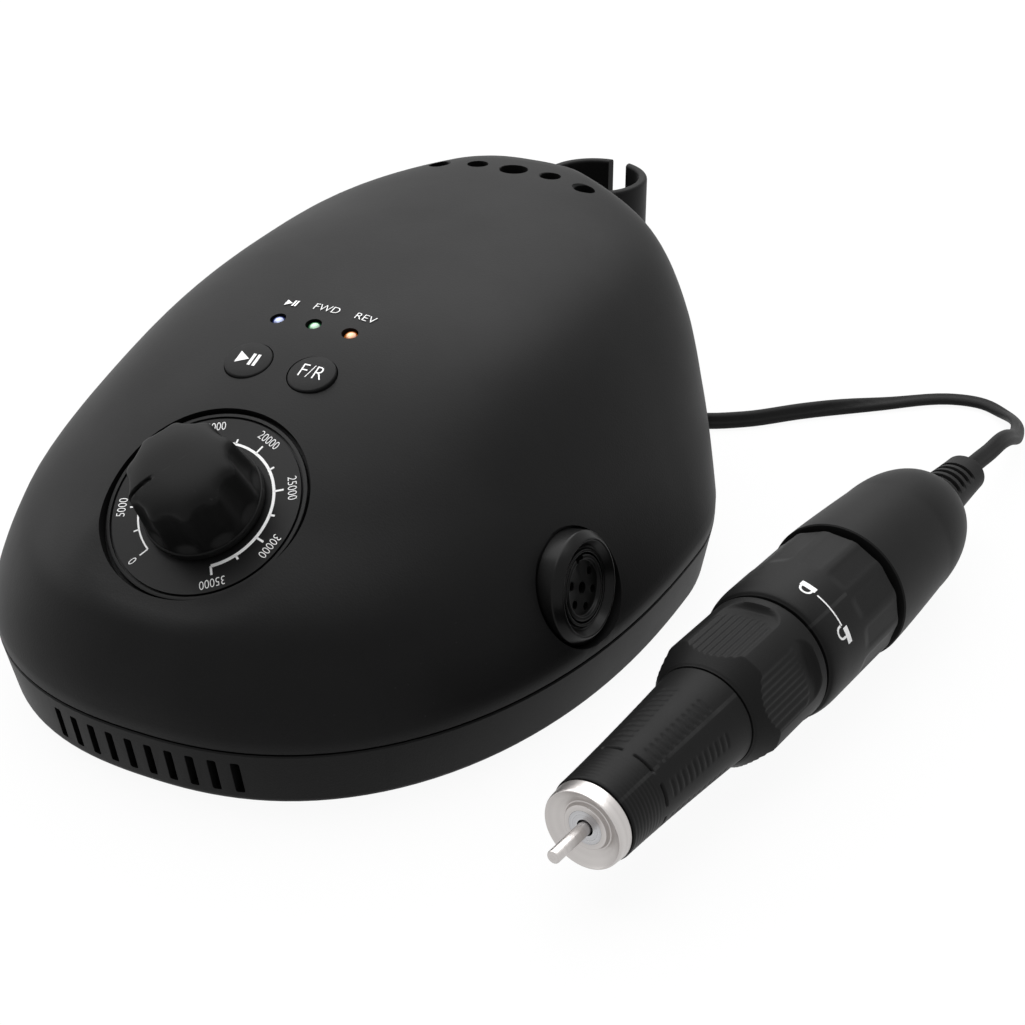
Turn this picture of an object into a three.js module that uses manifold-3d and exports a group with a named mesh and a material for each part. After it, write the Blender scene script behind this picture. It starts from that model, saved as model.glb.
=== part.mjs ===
// Electric nail drill: a desk control unit with a speed dial, and its handpiece on a cord.
// Millimetres, +z up. The control unit faces -y and its plane of symmetry is x = 0.

import * as THREE from 'three';
import { mergeVertices } from 'three/addons/utils/BufferGeometryUtils.js';
import Module from 'manifold-3d';

const wasm = await Module();
wasm.setup();

// Clearances shared by all pieces
const gap = 0.3;
const overrun = 1;
const weldDistance = 0.0001;
const tiny = 0.000001;

// Facet counts
const caseSides = 46;
const linerSides = 24;
const wideSides = 36;
const roundSides = 20;
const smallSides = 16;
const bootSides = 12;
const pinSides = 10;
const hexSides = 6;
const cornerSegments = 4;
const rockerSegments = 6;
const bisections = 40;

// Case of the control unit
const frontReach = 51.8;
const rearReach = 107.5;
const halfWidth = 65.2;
const seamHeight = 13.2;
const shoulderHeight = 16.2;
const caseTop = 65.6;
const wall = 2.4;
const seamStep = 0.5;
const seamStepHeight = 0.9;
const quarterTurn = Math.PI / 2;
const lastTurn = quarterTurn * 0.975;
const caseLevels = 10;
const linerLevels = 6;
const thinnestShare = 0.1;

// Case outline from the shoulder to the top, as shares of the three reaches above
const frontShares = [1, 0.917, 0.545, 0.143, -0.294, -0.872];
const rearShares = [1, 1.001, 1.003, 1.005, 0.996, 0.42];
const widthShares = [1, 0.892, 0.767, 0.611, 0.33, 0];
const widestShares = [0.61, 0.62];
const frontPowers = [2.36, 2.36, 2.26];
const rearPowers = [1.85, 2.7, 2.88];

// Base tray
const baseBottom = 1.5;
const trayFloor = 2.4;
const trayTaper = 2.1;
const trayEdge = 3;
const lipWall = 1.2;
const lipHeight = 3;
const ventCount = 10;
const ventPitch = 4.05;
const ventWidth = 1.5;
const ventBottom = 4;
const ventTop = 10.9;

// Feet and case screws
const footRadius = 6;
const footHeight = 2.7;
const footRecess = 1.5;
const footX = 34;
const footFrontY = -16;
const footRearY = 78;
const screwX = 22;
const screwFrontY = -24;
const screwRearY = 88;
const screwHeadRadius = 2.9;
const screwHeadHeight = 1.8;
const screwShankRadius = 1.4;
const screwLength = 17;
const screwSink = 0.8;
const postRadius = 3.7;

// Speed dial
const dialY = -26.8;
const dialTilt = THREE.MathUtils.degToRad(33);
const dialRadius = 18.75;
const dialDepth = 3.6;
const dialFloor = 2.2;
const plateThickness = 1;
const plateClearance = 0.35;

// Speed knob, potentiometer and its nut
const knobHeight = 14.4;
const knobSkirtRadius = 10.9;
const knobSkirtHeight = 1.6;
const knobGripRadius = 10.3;
const knobTopRadius = 8.9;
const knobCrownRadius = 6.6;
const knobLobes = 10;
const knobFluteDepth = 0.9;
const knobSides = 40;
const knobHollowRadius = 7.4;
const knobHollowDepth = 4.6;
const knobRunningGap = 0.5;
const shaftRadius = 3;
const bushingRadius = 3.9;
const bushingHeight = 3.4;
const potRadius = 8;
const potHeight = 8;
const nutAcross = 10;
const nutHeight = 2.2;

// Push buttons, lamps and the control board
const buttonX = 6.6;
const buttonY = 0.4;
const buttonRadius = 4.6;
const buttonProud = 0.8;
const buttonClearance = 0.35;
const buttonTravel = 0.7;
const buttonBossRadius = 6.3;
const buttonBossDepth = 4.4;
const buttonFlangeRadius = 5.4;
const buttonFlangeHeight = 1;
const buttonStemRadius = 1.6;
const buttonEdge = 0.4;
const lampX = 7.6;
const lampY = 12.4;
const lampRadius = 1.5;
const lampProud = 0.3;
const boardDepth = 11;
const boardWidth = 42;
const boardAhead = 8;
const boardBehind = 30;
const boardThickness = 1.6;
const boardCorner = 2;
const boardPostX = 17;
const boardPostRadius = 2.2;
const switchSize = 6;
const switchHeight = 3.2;
const switchPlungerRadius = 1.7;
const switchPlungerHeight = 0.7;

// Bit holes along the rear of the top
const bitHoleSides = 12;
const bitHoleDepth = 15;
const bitHoleRadius = 2.25;
const bitHoleMiddleRadius = 3.05;
const bitHoleWall = 1.6;
const bitHoleSpread = 8.7;
const bitHoleY = 96.6;
const bitHoleOuterY = 95;

// Handpiece socket on the right side
const socketY = 5.2;
const socketHeight = 25.6;
const socketRadius = 11.1;
const socketProud = 2.1;
const socketBevel = 1.3;
const socketBarrelRadius = 8.4;
const socketBarrelLength = 9;
const socketSeat = 1;
const socketFloor = 2.6;
const insertRadius = 6.1;
const insertBelowRim = 0.9;
const insertLength = 10;
const contactHoleRadius = 0.8;
const contactHoleDepth = 5;
const contactCircle = 3.7;
const contactCount = 5;
const contactArc = THREE.MathUtils.degToRad(240);

// Supply jack and power rocker on the rear
const rearPanelHeight = 30;
const jackX = -20;
const jackRadius = 5.6;
const jackBore = 3.2;
const jackPinRadius = 1.05;
const jackDepth = 9;
const jackFlange = 1.4;
const rockerX = 20;
const rockerWidth = 12;
const rockerHeight = 18;
const rockerFrameWall = 1.5;
const rockerFrameDepth = 11;
const rockerBarrelShare = 0.2;
const rockerPivotDepth = 3;
const rockerTilt = THREE.MathUtils.degToRad(9.5);
const rockerCorner = THREE.MathUtils.degToRad(31);
const rockerClearance = 0.3;
const rearSeatDepth = 1.2;
const rearSeatFloor = 2.6;

// Handpiece rest behind the case
const restY = 141;
const restTop = 48.5;
const restHeight = 22;
const restInner = 10.3;
const restWall = 2.1;
const restSlot = 4.6;
const restNeckWidth = 11;
const restNeckHeight = 15;

// Driver board inside the base
const driverWidth = 62;
const driverLength = 48;
const driverY = 34;
const driverLift = 4;
const driverPostRadius = 2.6;
const driverPostInset = 4;
const sinkWidth = 34;
const sinkDepth = 14;
const sinkHeight = 20;
const sinkFins = 6;
const sinkFinShare = 0.55;
const sinkBase = 3;
const sinkPlace = 12;
const capacitorRadius = 5;
const capacitorHeight = 17;
const capacitorX = 14;
const capacitorPlace = -10;

// Handpiece, lengths counted from the nose rim
const gripTurn = THREE.MathUtils.degToRad(9.9);
const noseX = 79.5;
const noseY = -43.9;
const noseRadius = 7.3;
const noseFlare = 0.6;
const noseLength = 9;
const noseDish = 2.6;
const noseBossRadius = 4.3;
const noseBossSink = 1.2;
const gripFrontRadius = 8;
const gripRearRadius = 9.55;
const gripEnd = 33.8;
const gripSpigotRadius = 9;
const gripBore = 6.3;
const collarStart = 34.1;
const collarRise = 4.6;
const collarRadius = 12.65;
const collarEnd = 56.6;
const collarFacets = 6;
const collarPanelDepth = 0.8;
const collarPanelStart = 6.4;
const collarPanelEnd = 3;
const collarPanelShare = 0.72;
const collarRidges = 4;
const collarRidgeShare = 0.5;
const ringRadius = 13.7;
const ringFacets = 14;
const ringFacetDepth = 0.45;
const ringFacetShare = 0.5;
const ringEdge = 0.5;
const ringLength = 26.6;
const sleeveRadius = 10;
const sleeveBore = 8.4;
const housingFront = 14.4;
const housingRear = 13;
const housingTaperLength = 33;
const housingEndSteps = 5;
const housingLength = 49.5;
const housingBore = 11.4;
const domeEndRadius = 5.2;
const bearingRadius = 6;
const bearingWidth = 6;
const bearingFrontPlace = 10.5;
const bearingRearPlace = 49;
const motorRadius = 11;
const motorLength = 34;
const motorPlace = 4;
const spindleRadius = 3.6;
const spindleNoseRadius = 3;
const spindleBore = 2.4;
const spindleBoreDepth = 27;
const spindleStart = 1.5;
const spindleEnd = 62;
const driveRadius = 1.5;
const colletRadius = 2.1;
const colletBore = 1.48;
const colletLength = 24;
const colletStart = 0.9;
const colletSlits = 3;
const colletSlitWidth = 0.5;
const colletSlitLength = 12;
const shankRadius = 1.175;
const shankOut = 8;
const shankLength = 30;
const shankEdge = 0.3;
const reliefLength = 16;
const reliefFront = 4.5;
const reliefRear = 3.2;
const reliefRibs = 4;
const reliefGroove = 0.7;
const reliefSpigotRadius = 3;
const reliefSpigotLength = 4;

// Cord, its coil and the plug; the free stretch is a list of points on its own
const cordDiameter = 3.8;
const cordSides = 8;
const cordSteps = 28;
const cordPoints = [
  [106.9, 114, 12.9],
  [107.6, 124, 8.6],
  [107.3, 134, 4.6],
  [105.4, 144, 2.4],
  [101.4, 152.4, 1.9],
  [95, 157, 1.9],
  [86.5, 156, 1.9],
  [73, 146.5, 1.9],
  [57.5, 133.6, 1.9],
  [46.5, 123.6, 1.9],
  [35.5, 118.2, 1.9],
  [25.4, 121.6, 1.9],
  [20.6, 131.6, 1.9],
  [19.4, 143, 1.9],
  [14.2, 153.4, 1.9],
  [3, 159.2, 1.9],
  [-12, 159.4, 1.9],
  [-28, 157.6, 1.9],
];
const coilX = -46;
const coilY = 130;
const coilMeanRadius = 20.6;
const coilPitch = 4.3;
const coilLayerRise = 4.3;
const coilRunOut = 12.5;
const coilLoopsPerLayer = 3;
const coilSteps = 24;
const coilStartAngle = Math.PI / 2;
const coilClimb = 0.5;
const coilSides = 6;
const plugBootLength = 9;
const plugBootRadius = 3.9;
const plugBodyLength = 14;
const plugBodyRadius = 6;
const plugShellLength = 9.5;
const plugShellRadius = 5.7;
const plugShellWall = 0.8;
const plugCoreLength = 5;
const plugPinRadius = 0.7;
const plugPinLength = 7;

// Colours
const blackPlastic = { color: 0x1b1b1d, roughness: 0.62, metalness: 0 };
const darkPlastic = { color: 0x101012, roughness: 0.5, metalness: 0 };
const plateFinish = { color: 0x17181b, roughness: 0.45, metalness: 0 };
const rubber = { color: 0x131314, roughness: 0.85, metalness: 0 };
const steel = { color: 0xb9bcc0, roughness: 0.28, metalness: 1 };
const brass = { color: 0xb08d4a, roughness: 0.35, metalness: 1 };
const boardGreen = { color: 0x1f5a33, roughness: 0.5, metalness: 0 };
const aluminium = { color: 0x8e9196, roughness: 0.45, metalness: 1 };
const blueLens = { color: 0xbcd2ff, roughness: 0.2, metalness: 0 };
const greenLens = { color: 0xc4f2cf, roughness: 0.2, metalness: 0 };
const orangeLens = { color: 0xf0a04a, roughness: 0.2, metalness: 0 };

// Geometry helpers

// One closed indexed body with its faces turned outward
function closed(geometry) {
  const bare = geometry.clone();
  bare.deleteAttribute('normal');
  bare.deleteAttribute('uv');
  const merged = mergeVertices(bare, weldDistance);
  const position = merged.getAttribute('position');
  const index = merged.getIndex().array;
  const kept = [];
  let volume = 0;
  const a = new THREE.Vector3();
  const b = new THREE.Vector3();
  const c = new THREE.Vector3();
  for (let i = 0; i < index.length; i += 3) {
    const [p, q, r] = [index[i], index[i + 1], index[i + 2]];
    if (p === q || q === r || r === p) continue;
    kept.push(p, q, r);
    a.fromBufferAttribute(position, p);
    b.fromBufferAttribute(position, q);
    c.fromBufferAttribute(position, r);
    volume += a.dot(b.cross(c));
  }
  if (volume < 0) kept.reverse();
  merged.setIndex(kept);
  return merged;
}

function toSolid(geometry) {
  const body = closed(geometry);
  return new wasm.Manifold(new wasm.Mesh({
    numProp: 3,
    vertProperties: Float32Array.from(body.getAttribute('position').array),
    triVerts: Uint32Array.from(body.getIndex().array),
  }));
}

function fromSolid(solid) {
  const mesh = solid.getMesh();
  const geometry = new THREE.BufferGeometry();
  geometry.setAttribute('position', new THREE.BufferAttribute(mesh.vertProperties, 3));
  geometry.setIndex(new THREE.BufferAttribute(mesh.triVerts, 1));
  return geometry;
}

function join(first, ...others) {
  return fromSolid(others.reduce((sum, next) => sum.add(toSolid(next)), toSolid(first)));
}

function cut(first, ...others) {
  return fromSolid(others.reduce((sum, next) => sum.subtract(toSolid(next)), toSolid(first)));
}

// Solid of revolution about z from [radius, height] points
function turned(profile, sides = roundSides) {
  const points = profile.map(([radius, height]) => new THREE.Vector2(radius, height));
  return new THREE.LatheGeometry(points, sides).rotateX(quarterTurn);
}

function disc(radius, bottom, top, sides = roundSides) {
  return turned([[0, bottom], [radius, bottom], [radius, top], [0, top]], sides);
}

function tube(inner, outer, bottom, top, sides = roundSides) {
  return turned([[inner, bottom], [outer, bottom], [outer, top], [inner, top], [inner, bottom]], sides);
}

function block(width, depth, bottom, top) {
  return new THREE.BoxGeometry(width, depth, top - bottom).translate(0, 0, (top + bottom) / 2);
}

// Solid between stacked rings of points, closed by a fan at each end
function lofted(rings) {
  const count = rings[0].length;
  const points = rings.flat();
  const faces = [];
  for (let level = 0; level < rings.length - 1; level += 1) {
    for (let i = 0; i < count; i += 1) {
      const j = (i + 1) % count;
      const low = level * count;
      const high = low + count;
      faces.push(low + i, low + j, high + j, low + i, high + j, high + i);
    }
  }
  const middle = (ring) => ring.reduce((sum, p) => sum.add(p), new THREE.Vector3()).divideScalar(count);
  const lastRing = (rings.length - 1) * count;
  const bottom = points.push(middle(rings[0])) - 1;
  const top = points.push(middle(rings[rings.length - 1])) - 1;
  for (let i = 0; i < count; i += 1) {
    const j = (i + 1) % count;
    faces.push(bottom, j, i, top, lastRing + i, lastRing + j);
  }
  const geometry = new THREE.BufferGeometry().setFromPoints(points);
  geometry.setIndex(faces);
  return geometry;
}

// Placement with z along a normal and y as near to a given direction as it can be
function placement(origin, normal, upward) {
  const z = normal.clone().normalize();
  const x = new THREE.Vector3().crossVectors(upward, z).normalize();
  const y = new THREE.Vector3().crossVectors(z, x);
  return new THREE.Matrix4().makeBasis(x, y, z).setPosition(origin);
}

function placed(geometry, matrix) {
  return geometry.clone().applyMatrix4(matrix);
}

function shifted(geometry, x, y, z) {
  return geometry.clone().translate(x, y, z);
}

// Shape-preserving curve through equally spaced shares
function smooth(shares, at) {
  const spans = shares.length - 1;
  const place = Math.min(Math.max(at, 0), 1) * spans;
  const i = Math.min(Math.floor(place), spans - 1);
  const u = place - i;
  const rise = (k) => shares[k + 1] - shares[k];
  const endSlope = (near, next) => {
    const slope = (3 * near - next) / 2;
    if (slope * near <= 0) return 0;
    return near * next < 0 && Math.abs(slope) > 3 * Math.abs(near) ? 3 * near : slope;
  };
  const slope = (k) => {
    if (spans === 1) return rise(0);
    if (k === 0) return endSlope(rise(0), rise(1));
    if (k === spans) return endSlope(rise(spans - 1), rise(spans - 2));
    const before = rise(k - 1);
    const after = rise(k);
    return before * after > 0 ? 2 * before * after / (before + after) : 0;
  };
  const bend = u * u * (3 - 2 * u);
  return shares[i] + rise(i) * bend + slope(i) * u * (1 - u) ** 2 - slope(i + 1) * u * u * (1 - u);
}

// Case form: horizontal sections whose reaches follow the share tables

function section(turn, inset = 0) {
  const share = turn / quarterTurn;
  const front = -frontReach * smooth(frontShares, share);
  const rear = rearReach * smooth(rearShares, share);
  const widest = front + (rear - front) * smooth(widestShares, share);
  const shrink = (size) => Math.max(size - inset, size * thinnestShare);
  return {
    z: shoulderHeight + (caseTop - inset - shoulderHeight) * Math.sin(turn),
    widest,
    ahead: shrink(widest - front),
    behind: shrink(rear - widest),
    half: shrink(halfWidth * smooth(widthShares, share) + tiny),
    frontPower: smooth(frontPowers, share),
    rearPower: smooth(rearPowers, share),
  };
}

function sectionRing(level, sides, z = level.z) {
  const ring = [];
  for (let i = 0; i < sides; i += 1) {
    const angle = i / sides * 2 * Math.PI;
    const across = Math.sin(angle);
    const along = -Math.cos(angle);
    const power = along < 0 ? level.frontPower : level.rearPower;
    const length = along < 0 ? level.ahead : level.behind;
    const size = (Math.abs(across) ** power + Math.abs(along) ** power) ** (-1 / power);
    ring.push(new THREE.Vector3(level.half * size * across, level.widest + length * size * along, z));
  }
  return ring;
}

function dome(inset, sides, levels, bottomRings) {
  const rings = [...bottomRings];
  for (let i = 0; i <= levels; i += 1) {
    rings.push(sectionRing(section(lastTurn * i / levels, inset), sides));
  }
  return lofted(rings);
}

function caseSolid() {
  const bottom = seamHeight + gap;
  return dome(0, caseSides, caseLevels, [
    sectionRing(section(0, seamStep), caseSides, bottom),
    sectionRing(section(0), caseSides, bottom + seamStepHeight),
  ]);
}

function caseLiner(inset) {
  return dome(inset, linerSides, linerLevels, [sectionRing(section(0, inset), linerSides, baseBottom)]);
}

// How far a point lies out of a section: 1 is on its outline
function reach(level, x, y) {
  const ahead = y < level.widest;
  const power = ahead ? level.frontPower : level.rearPower;
  const length = ahead ? level.ahead : level.behind;
  return Math.abs(x / level.half) ** power + Math.abs((y - level.widest) / length) ** power;
}

function topHeight(x, y) {
  let low = 0;
  let high = quarterTurn;
  for (let i = 0; i < bisections; i += 1) {
    const middle = (low + high) / 2;
    if (reach(section(middle), x, y) < 1) low = middle;
    else high = middle;
  }
  return section(low).z;
}

function levelAt(z) {
  const sine = Math.max(0, z - shoulderHeight) / (caseTop - shoulderHeight);
  return section(Math.asin(sine));
}

function sideX(y, z) {
  const level = levelAt(z);
  const ahead = y < level.widest;
  const power = ahead ? level.frontPower : level.rearPower;
  const length = ahead ? level.ahead : level.behind;
  return level.half * (1 - Math.abs((y - level.widest) / length) ** power) ** (1 / power);
}

function rearY(x, z) {
  const level = levelAt(z);
  const power = level.rearPower;
  return level.widest + level.behind * (1 - Math.abs(x / level.half) ** power) ** (1 / power);
}

const upward = new THREE.Vector3(0, 0, 1);
const backward = new THREE.Vector3(0, 1, 0);

function topPoint(x, y) {
  return new THREE.Vector3(x, y, topHeight(x, y));
}

function topNormal(x, y) {
  const step = wall;
  const slopeX = (topHeight(x + step, y) - topHeight(x - step, y)) / (2 * step);
  const slopeY = (topHeight(x, y + step) - topHeight(x, y - step)) / (2 * step);
  return new THREE.Vector3(-slopeX, -slopeY, 1).normalize();
}

// Places on the case that other pieces share
const dialPlace = placement(
  topPoint(0, dialY),
  new THREE.Vector3(0, -Math.sin(dialTilt), Math.cos(dialTilt)),
  backward,
);
const keysNormal = topNormal(0, buttonY);
const keysPlace = placement(topPoint(0, buttonY), keysNormal, backward);
const keysInverse = keysPlace.clone().invert();

function socketPlacement() {
  const step = wall;
  const slopeY = (sideX(socketY + step, socketHeight) - sideX(socketY - step, socketHeight)) / (2 * step);
  const slopeZ = (sideX(socketY, socketHeight + step) - sideX(socketY, socketHeight - step)) / (2 * step);
  const origin = new THREE.Vector3(sideX(socketY, socketHeight), socketY, socketHeight);
  return placement(origin, new THREE.Vector3(1, -slopeY, -slopeZ), upward);
}

const socketPlace = socketPlacement();

function rearPlacement(x) {
  return placement(new THREE.Vector3(x, rearY(x, rearPanelHeight), rearPanelHeight), backward, upward);
}

const jackPlace = rearPlacement(jackX);
const rockerPlace = rearPlacement(rockerX);

// A point of the top in the plane of the keys: its x, y and height above the key plane
function keyPoint(x, y) {
  return topPoint(x, y).applyMatrix4(keysInverse);
}

const buttonPlaces = [-1, 1].map((side) => keyPoint(side * buttonX, buttonY));
const lampPlaces = [-1, 0, 1].map((side) => keyPoint(side * lampX, lampY));
const boardTop = -boardDepth;
const boardPosts = [-1, 1].flatMap((side) => [
  [side * boardPostX, -boardAhead + boardPostRadius * 2],
  [side * boardPostX, boardBehind - boardPostRadius * 2],
]);
const screwPlaces = [-1, 1].flatMap((side) => [[side * screwX, screwFrontY], [side * screwX, screwRearY]]);
const footPlaces = [-1, 1].flatMap((side) => [[side * footX, footFrontY], [side * footX, footRearY]]);
const driverPosts = [-1, 1].flatMap((side) => [-1, 1].map((end) => [
  side * (driverWidth / 2 - driverPostInset),
  driverY + end * (driverLength / 2 - driverPostInset),
]));
const bitHoles = [-2, -1, 0, 1, 2].map((step) => ({
  x: step * bitHoleSpread,
  y: Math.abs(step) === 2 ? bitHoleOuterY : bitHoleY,
  radius: step === 0 ? bitHoleMiddleRadius : bitHoleRadius,
}));

// Upper shell
function upperShell() {
  const outside = caseSolid();
  const far = dialRadius * 2;
  const bosses = [];
  const holes = [];
  bosses.push(placed(disc(dialRadius + wall, -dialDepth - dialFloor, far, wideSides), dialPlace));
  holes.push(placed(disc(dialRadius, -dialDepth, far, wideSides), dialPlace));
  holes.push(placed(disc(bushingRadius + gap, -far, 0), dialPlace));
  for (const p of buttonPlaces) {
    const boss = disc(buttonBossRadius, -buttonBossDepth, far, smallSides);
    const hole = disc(buttonRadius + buttonClearance, -far, far);
    bosses.push(placed(shifted(boss, p.x, p.y, 0), keysPlace));
    holes.push(placed(shifted(hole, p.x, p.y, 0), keysPlace));
  }
  for (const p of lampPlaces) {
    holes.push(placed(shifted(disc(lampRadius + gap, -far, far, bootSides), p.x, p.y, 0), keysPlace));
  }
  for (const [x, y] of boardPosts) {
    const post = disc(boardPostRadius, boardTop + gap, far, pinSides);
    bosses.push(placed(shifted(post, x, y, 0), keysPlace));
  }
  for (const { x, y, radius } of bitHoles) {
    const top = topHeight(x, y);
    const bottom = top - bitHoleDepth;
    bosses.push(shifted(disc(radius + bitHoleWall, bottom - bitHoleWall, top + far, pinSides), x, y, 0));
    holes.push(shifted(disc(radius, bottom, top + far, bitHoleSides), x, y, 0));
  }
  for (const [x, y] of screwPlaces) {
    const hole = disc(screwShankRadius + gap, 0, baseBottom + screwLength + overrun, pinSides);
    bosses.push(shifted(disc(postRadius, seamHeight + gap, caseTop, pinSides), x, y, 0));
    holes.push(shifted(hole, x, y, 0));
  }
  bosses.push(placed(disc(socketRadius + wall, -socketSeat - socketFloor, far, smallSides), socketPlace));
  holes.push(placed(disc(socketRadius + gap, -socketSeat, far), socketPlace));
  holes.push(placed(disc(socketBarrelRadius + gap, -socketBarrelLength - overrun, 0), socketPlace));
  bosses.push(placed(disc(jackRadius + wall, -rearSeatDepth - rearSeatFloor, far, smallSides), jackPlace));
  holes.push(placed(disc(jackRadius + gap, -rearSeatDepth, far), jackPlace));
  const jackHoleDepth = rearSeatDepth + jackDepth + jackFlange + overrun;
  holes.push(placed(disc(jackRadius - jackFlange + gap, -jackHoleDepth, 0, smallSides), jackPlace));
  const frame = rockerFrameWall + gap * 2;
  const [wide, high] = [rockerWidth + 2 * frame, rockerHeight + 2 * frame];
  const seatBoss = block(wide + wall * 2, high + wall * 2, -rearSeatDepth - rearSeatFloor, far);
  bosses.push(placed(seatBoss, rockerPlace));
  holes.push(placed(block(wide, high, -rearSeatDepth, far), rockerPlace));
  const barrelDepth = rearSeatDepth + rockerFrameDepth + overrun;
  const barrelHole = block(wide - 2 * rockerFrameWall, high - 2 * rockerFrameWall, -barrelDepth, 0);
  holes.push(placed(barrelHole, rockerPlace));
  const hollow = cut(caseLiner(wall), ...bosses);
  return cut(outside, hollow, ...holes);
}

// Base tray with its lip, vents and posts
function trayLevel(z, inset) {
  return sectionRing(section(0, inset), caseSides, z);
}

function baseTray() {
  const lean = (z) => trayTaper * (seamHeight - z) / (seamHeight - baseBottom);
  const outside = lofted([
    trayLevel(baseBottom, trayTaper + trayEdge),
    trayLevel(baseBottom + trayEdge * 0.25, trayTaper + trayEdge * 0.25),
    trayLevel(baseBottom + trayEdge, lean(baseBottom + trayEdge)),
    trayLevel(seamHeight - seamStepHeight, lean(seamHeight - seamStepHeight)),
    trayLevel(seamHeight, seamStep),
  ]);
  const inner = (z, inset) => sectionRing(section(0, inset), linerSides, z);
  const floor = baseBottom + trayFloor;
  const pocket = lofted([
    inner(floor, trayTaper + trayEdge + wall),
    inner(floor + trayEdge, trayTaper + wall),
    inner(seamHeight + lipHeight + overrun, trayTaper + wall),
  ]);
  const lipOuter = wall + gap * 2;
  const lip = cut(
    lofted([inner(ventTop + gap, lipOuter), inner(seamHeight + lipHeight, lipOuter)]),
    lofted([inner(0, lipOuter + lipWall), inner(caseTop, lipOuter + lipWall)]),
  );
  const posts = [];
  const holes = [];
  for (const [x, y] of screwPlaces) {
    posts.push(shifted(disc(postRadius, baseBottom + gap, seamHeight, pinSides), x, y, 0));
    const seat = screwSink + screwHeadHeight;
    holes.push(shifted(disc(screwHeadRadius + gap * 2, 0, baseBottom + seat, pinSides), x, y, 0));
    holes.push(shifted(disc(screwShankRadius + gap, 0, caseTop, pinSides), x, y, 0));
  }
  for (const [x, y] of driverPosts) {
    posts.push(shifted(disc(driverPostRadius, baseBottom + gap, floor + driverLift, pinSides), x, y, 0));
  }
  for (const [x, y] of footPlaces) {
    holes.push(shifted(disc(footRadius + gap, 0, baseBottom + footRecess, smallSides), x, y, 0));
  }
  for (let i = 0; i < ventCount; i += 1) {
    const x = (i - (ventCount - 1) / 2) * ventPitch;
    const slot = block(ventWidth, frontReach, ventBottom, ventTop);
    holes.push(shifted(slot, x, -frontReach, 0));
  }
  const boss = disc(socketRadius + wall + gap, -socketBarrelLength - gap, socketRadius);
  const notched = cut(lip, placed(boss, socketPlace));
  return cut(join(cut(outside, pocket), notched, ...posts), ...holes);
}

function foot() {
  const edge = gap * 2;
  const rim = footRadius - edge;
  const outline = [[0, 0], [rim, 0], [footRadius, edge], [footRadius, footHeight], [0, footHeight]];
  return turned(outline, smallSides);
}

function caseScrew() {
  const head = screwHeadHeight - gap;
  return turned([
    [0, 0],
    [screwHeadRadius, 0],
    [screwHeadRadius, head],
    [screwShankRadius, head],
    [screwShankRadius, screwLength - screwSink],
    [0, screwLength - screwSink],
  ], pinSides);
}

// Dial plate, potentiometer and nut, all in the dial's placement
const plateBottom = -dialDepth + gap;
const plateTop = plateBottom + plateThickness;

function dialPlate() {
  return tube(bushingRadius + gap, dialRadius - plateClearance, plateBottom, plateTop, wideSides);
}

function potentiometer() {
  const top = -dialDepth - dialFloor - gap;
  const bushingTop = top + gap + dialFloor + bushingHeight + gap;
  return turned([
    [0, top - potHeight],
    [potRadius, top - potHeight],
    [potRadius, top],
    [bushingRadius, top],
    [bushingRadius, bushingTop],
    [shaftRadius + gap, bushingTop],
    [shaftRadius + gap, top - potHeight / 2],
    [0, top - potHeight / 2],
  ], smallSides);
}

function potentiometerNut() {
  const corner = nutAcross / 2 / Math.cos(Math.PI / hexSides);
  const body = disc(corner, plateTop + gap, plateTop + gap + nutHeight, hexSides);
  return cut(body, disc(bushingRadius + gap, plateTop - nutHeight, plateTop + nutHeight * 3));
}

// Fluted speed knob with its shaft
function knobRing(z, radius, depth) {
  const ring = [];
  for (let i = 0; i < knobSides; i += 1) {
    const angle = i / knobSides * 2 * Math.PI;
    const flute = Math.abs(Math.sin(angle * knobLobes / 2)) ** 3;
    const size = radius - depth * (1 - flute);
    ring.push(new THREE.Vector3(size * Math.sin(angle), -size * Math.cos(angle), z));
  }
  return ring;
}

function speedKnob() {
  const bottom = plateTop + knobRunningGap;
  const top = plateTop + knobHeight;
  const grip = bottom + knobSkirtHeight;
  const shoulder = top - (knobTopRadius - knobCrownRadius) * 1.2;
  const body = lofted([
    knobRing(bottom, knobSkirtRadius, 0),
    knobRing(grip - gap, knobSkirtRadius, 0),
    knobRing(grip, knobGripRadius, knobFluteDepth / 2),
    knobRing(grip + knobSkirtHeight, knobGripRadius - gap, knobFluteDepth),
    knobRing((grip + shoulder) / 2, (knobGripRadius + knobTopRadius) / 2, knobFluteDepth),
    knobRing(shoulder, knobTopRadius, knobFluteDepth),
    knobRing((shoulder + top) / 2, knobTopRadius * 0.7 + knobCrownRadius * 0.3, knobFluteDepth / 4),
    knobRing(top - gap, knobCrownRadius + gap, 0),
    knobRing(top, knobCrownRadius - gap * 2, 0),
  ]);
  const hollow = disc(knobHollowRadius, bottom - overrun, bottom + knobHollowDepth);
  const shaftBottom = -dialDepth - dialFloor - potHeight / 2 + gap;
  const shaft = disc(shaftRadius, shaftBottom, bottom + knobHollowDepth + overrun, smallSides);
  return join(cut(body, hollow), shaft);
}

// Keys and lamps, in the placement of the keys
function pushButton(p) {
  const under = -buttonBossDepth - gap;
  const top = p.z + buttonProud;
  const stemBottom = boardTop + switchHeight + switchPlungerHeight + gap + buttonTravel + gap;
  return shifted(turned([
    [0, stemBottom],
    [buttonStemRadius, stemBottom],
    [buttonStemRadius, under - buttonFlangeHeight],
    [buttonFlangeRadius, under - buttonFlangeHeight],
    [buttonFlangeRadius, under],
    [buttonRadius, under],
    [buttonRadius, top - buttonEdge],
    [buttonRadius - buttonEdge, top],
    [0, top],
  ]), p.x, p.y, 0);
}

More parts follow.
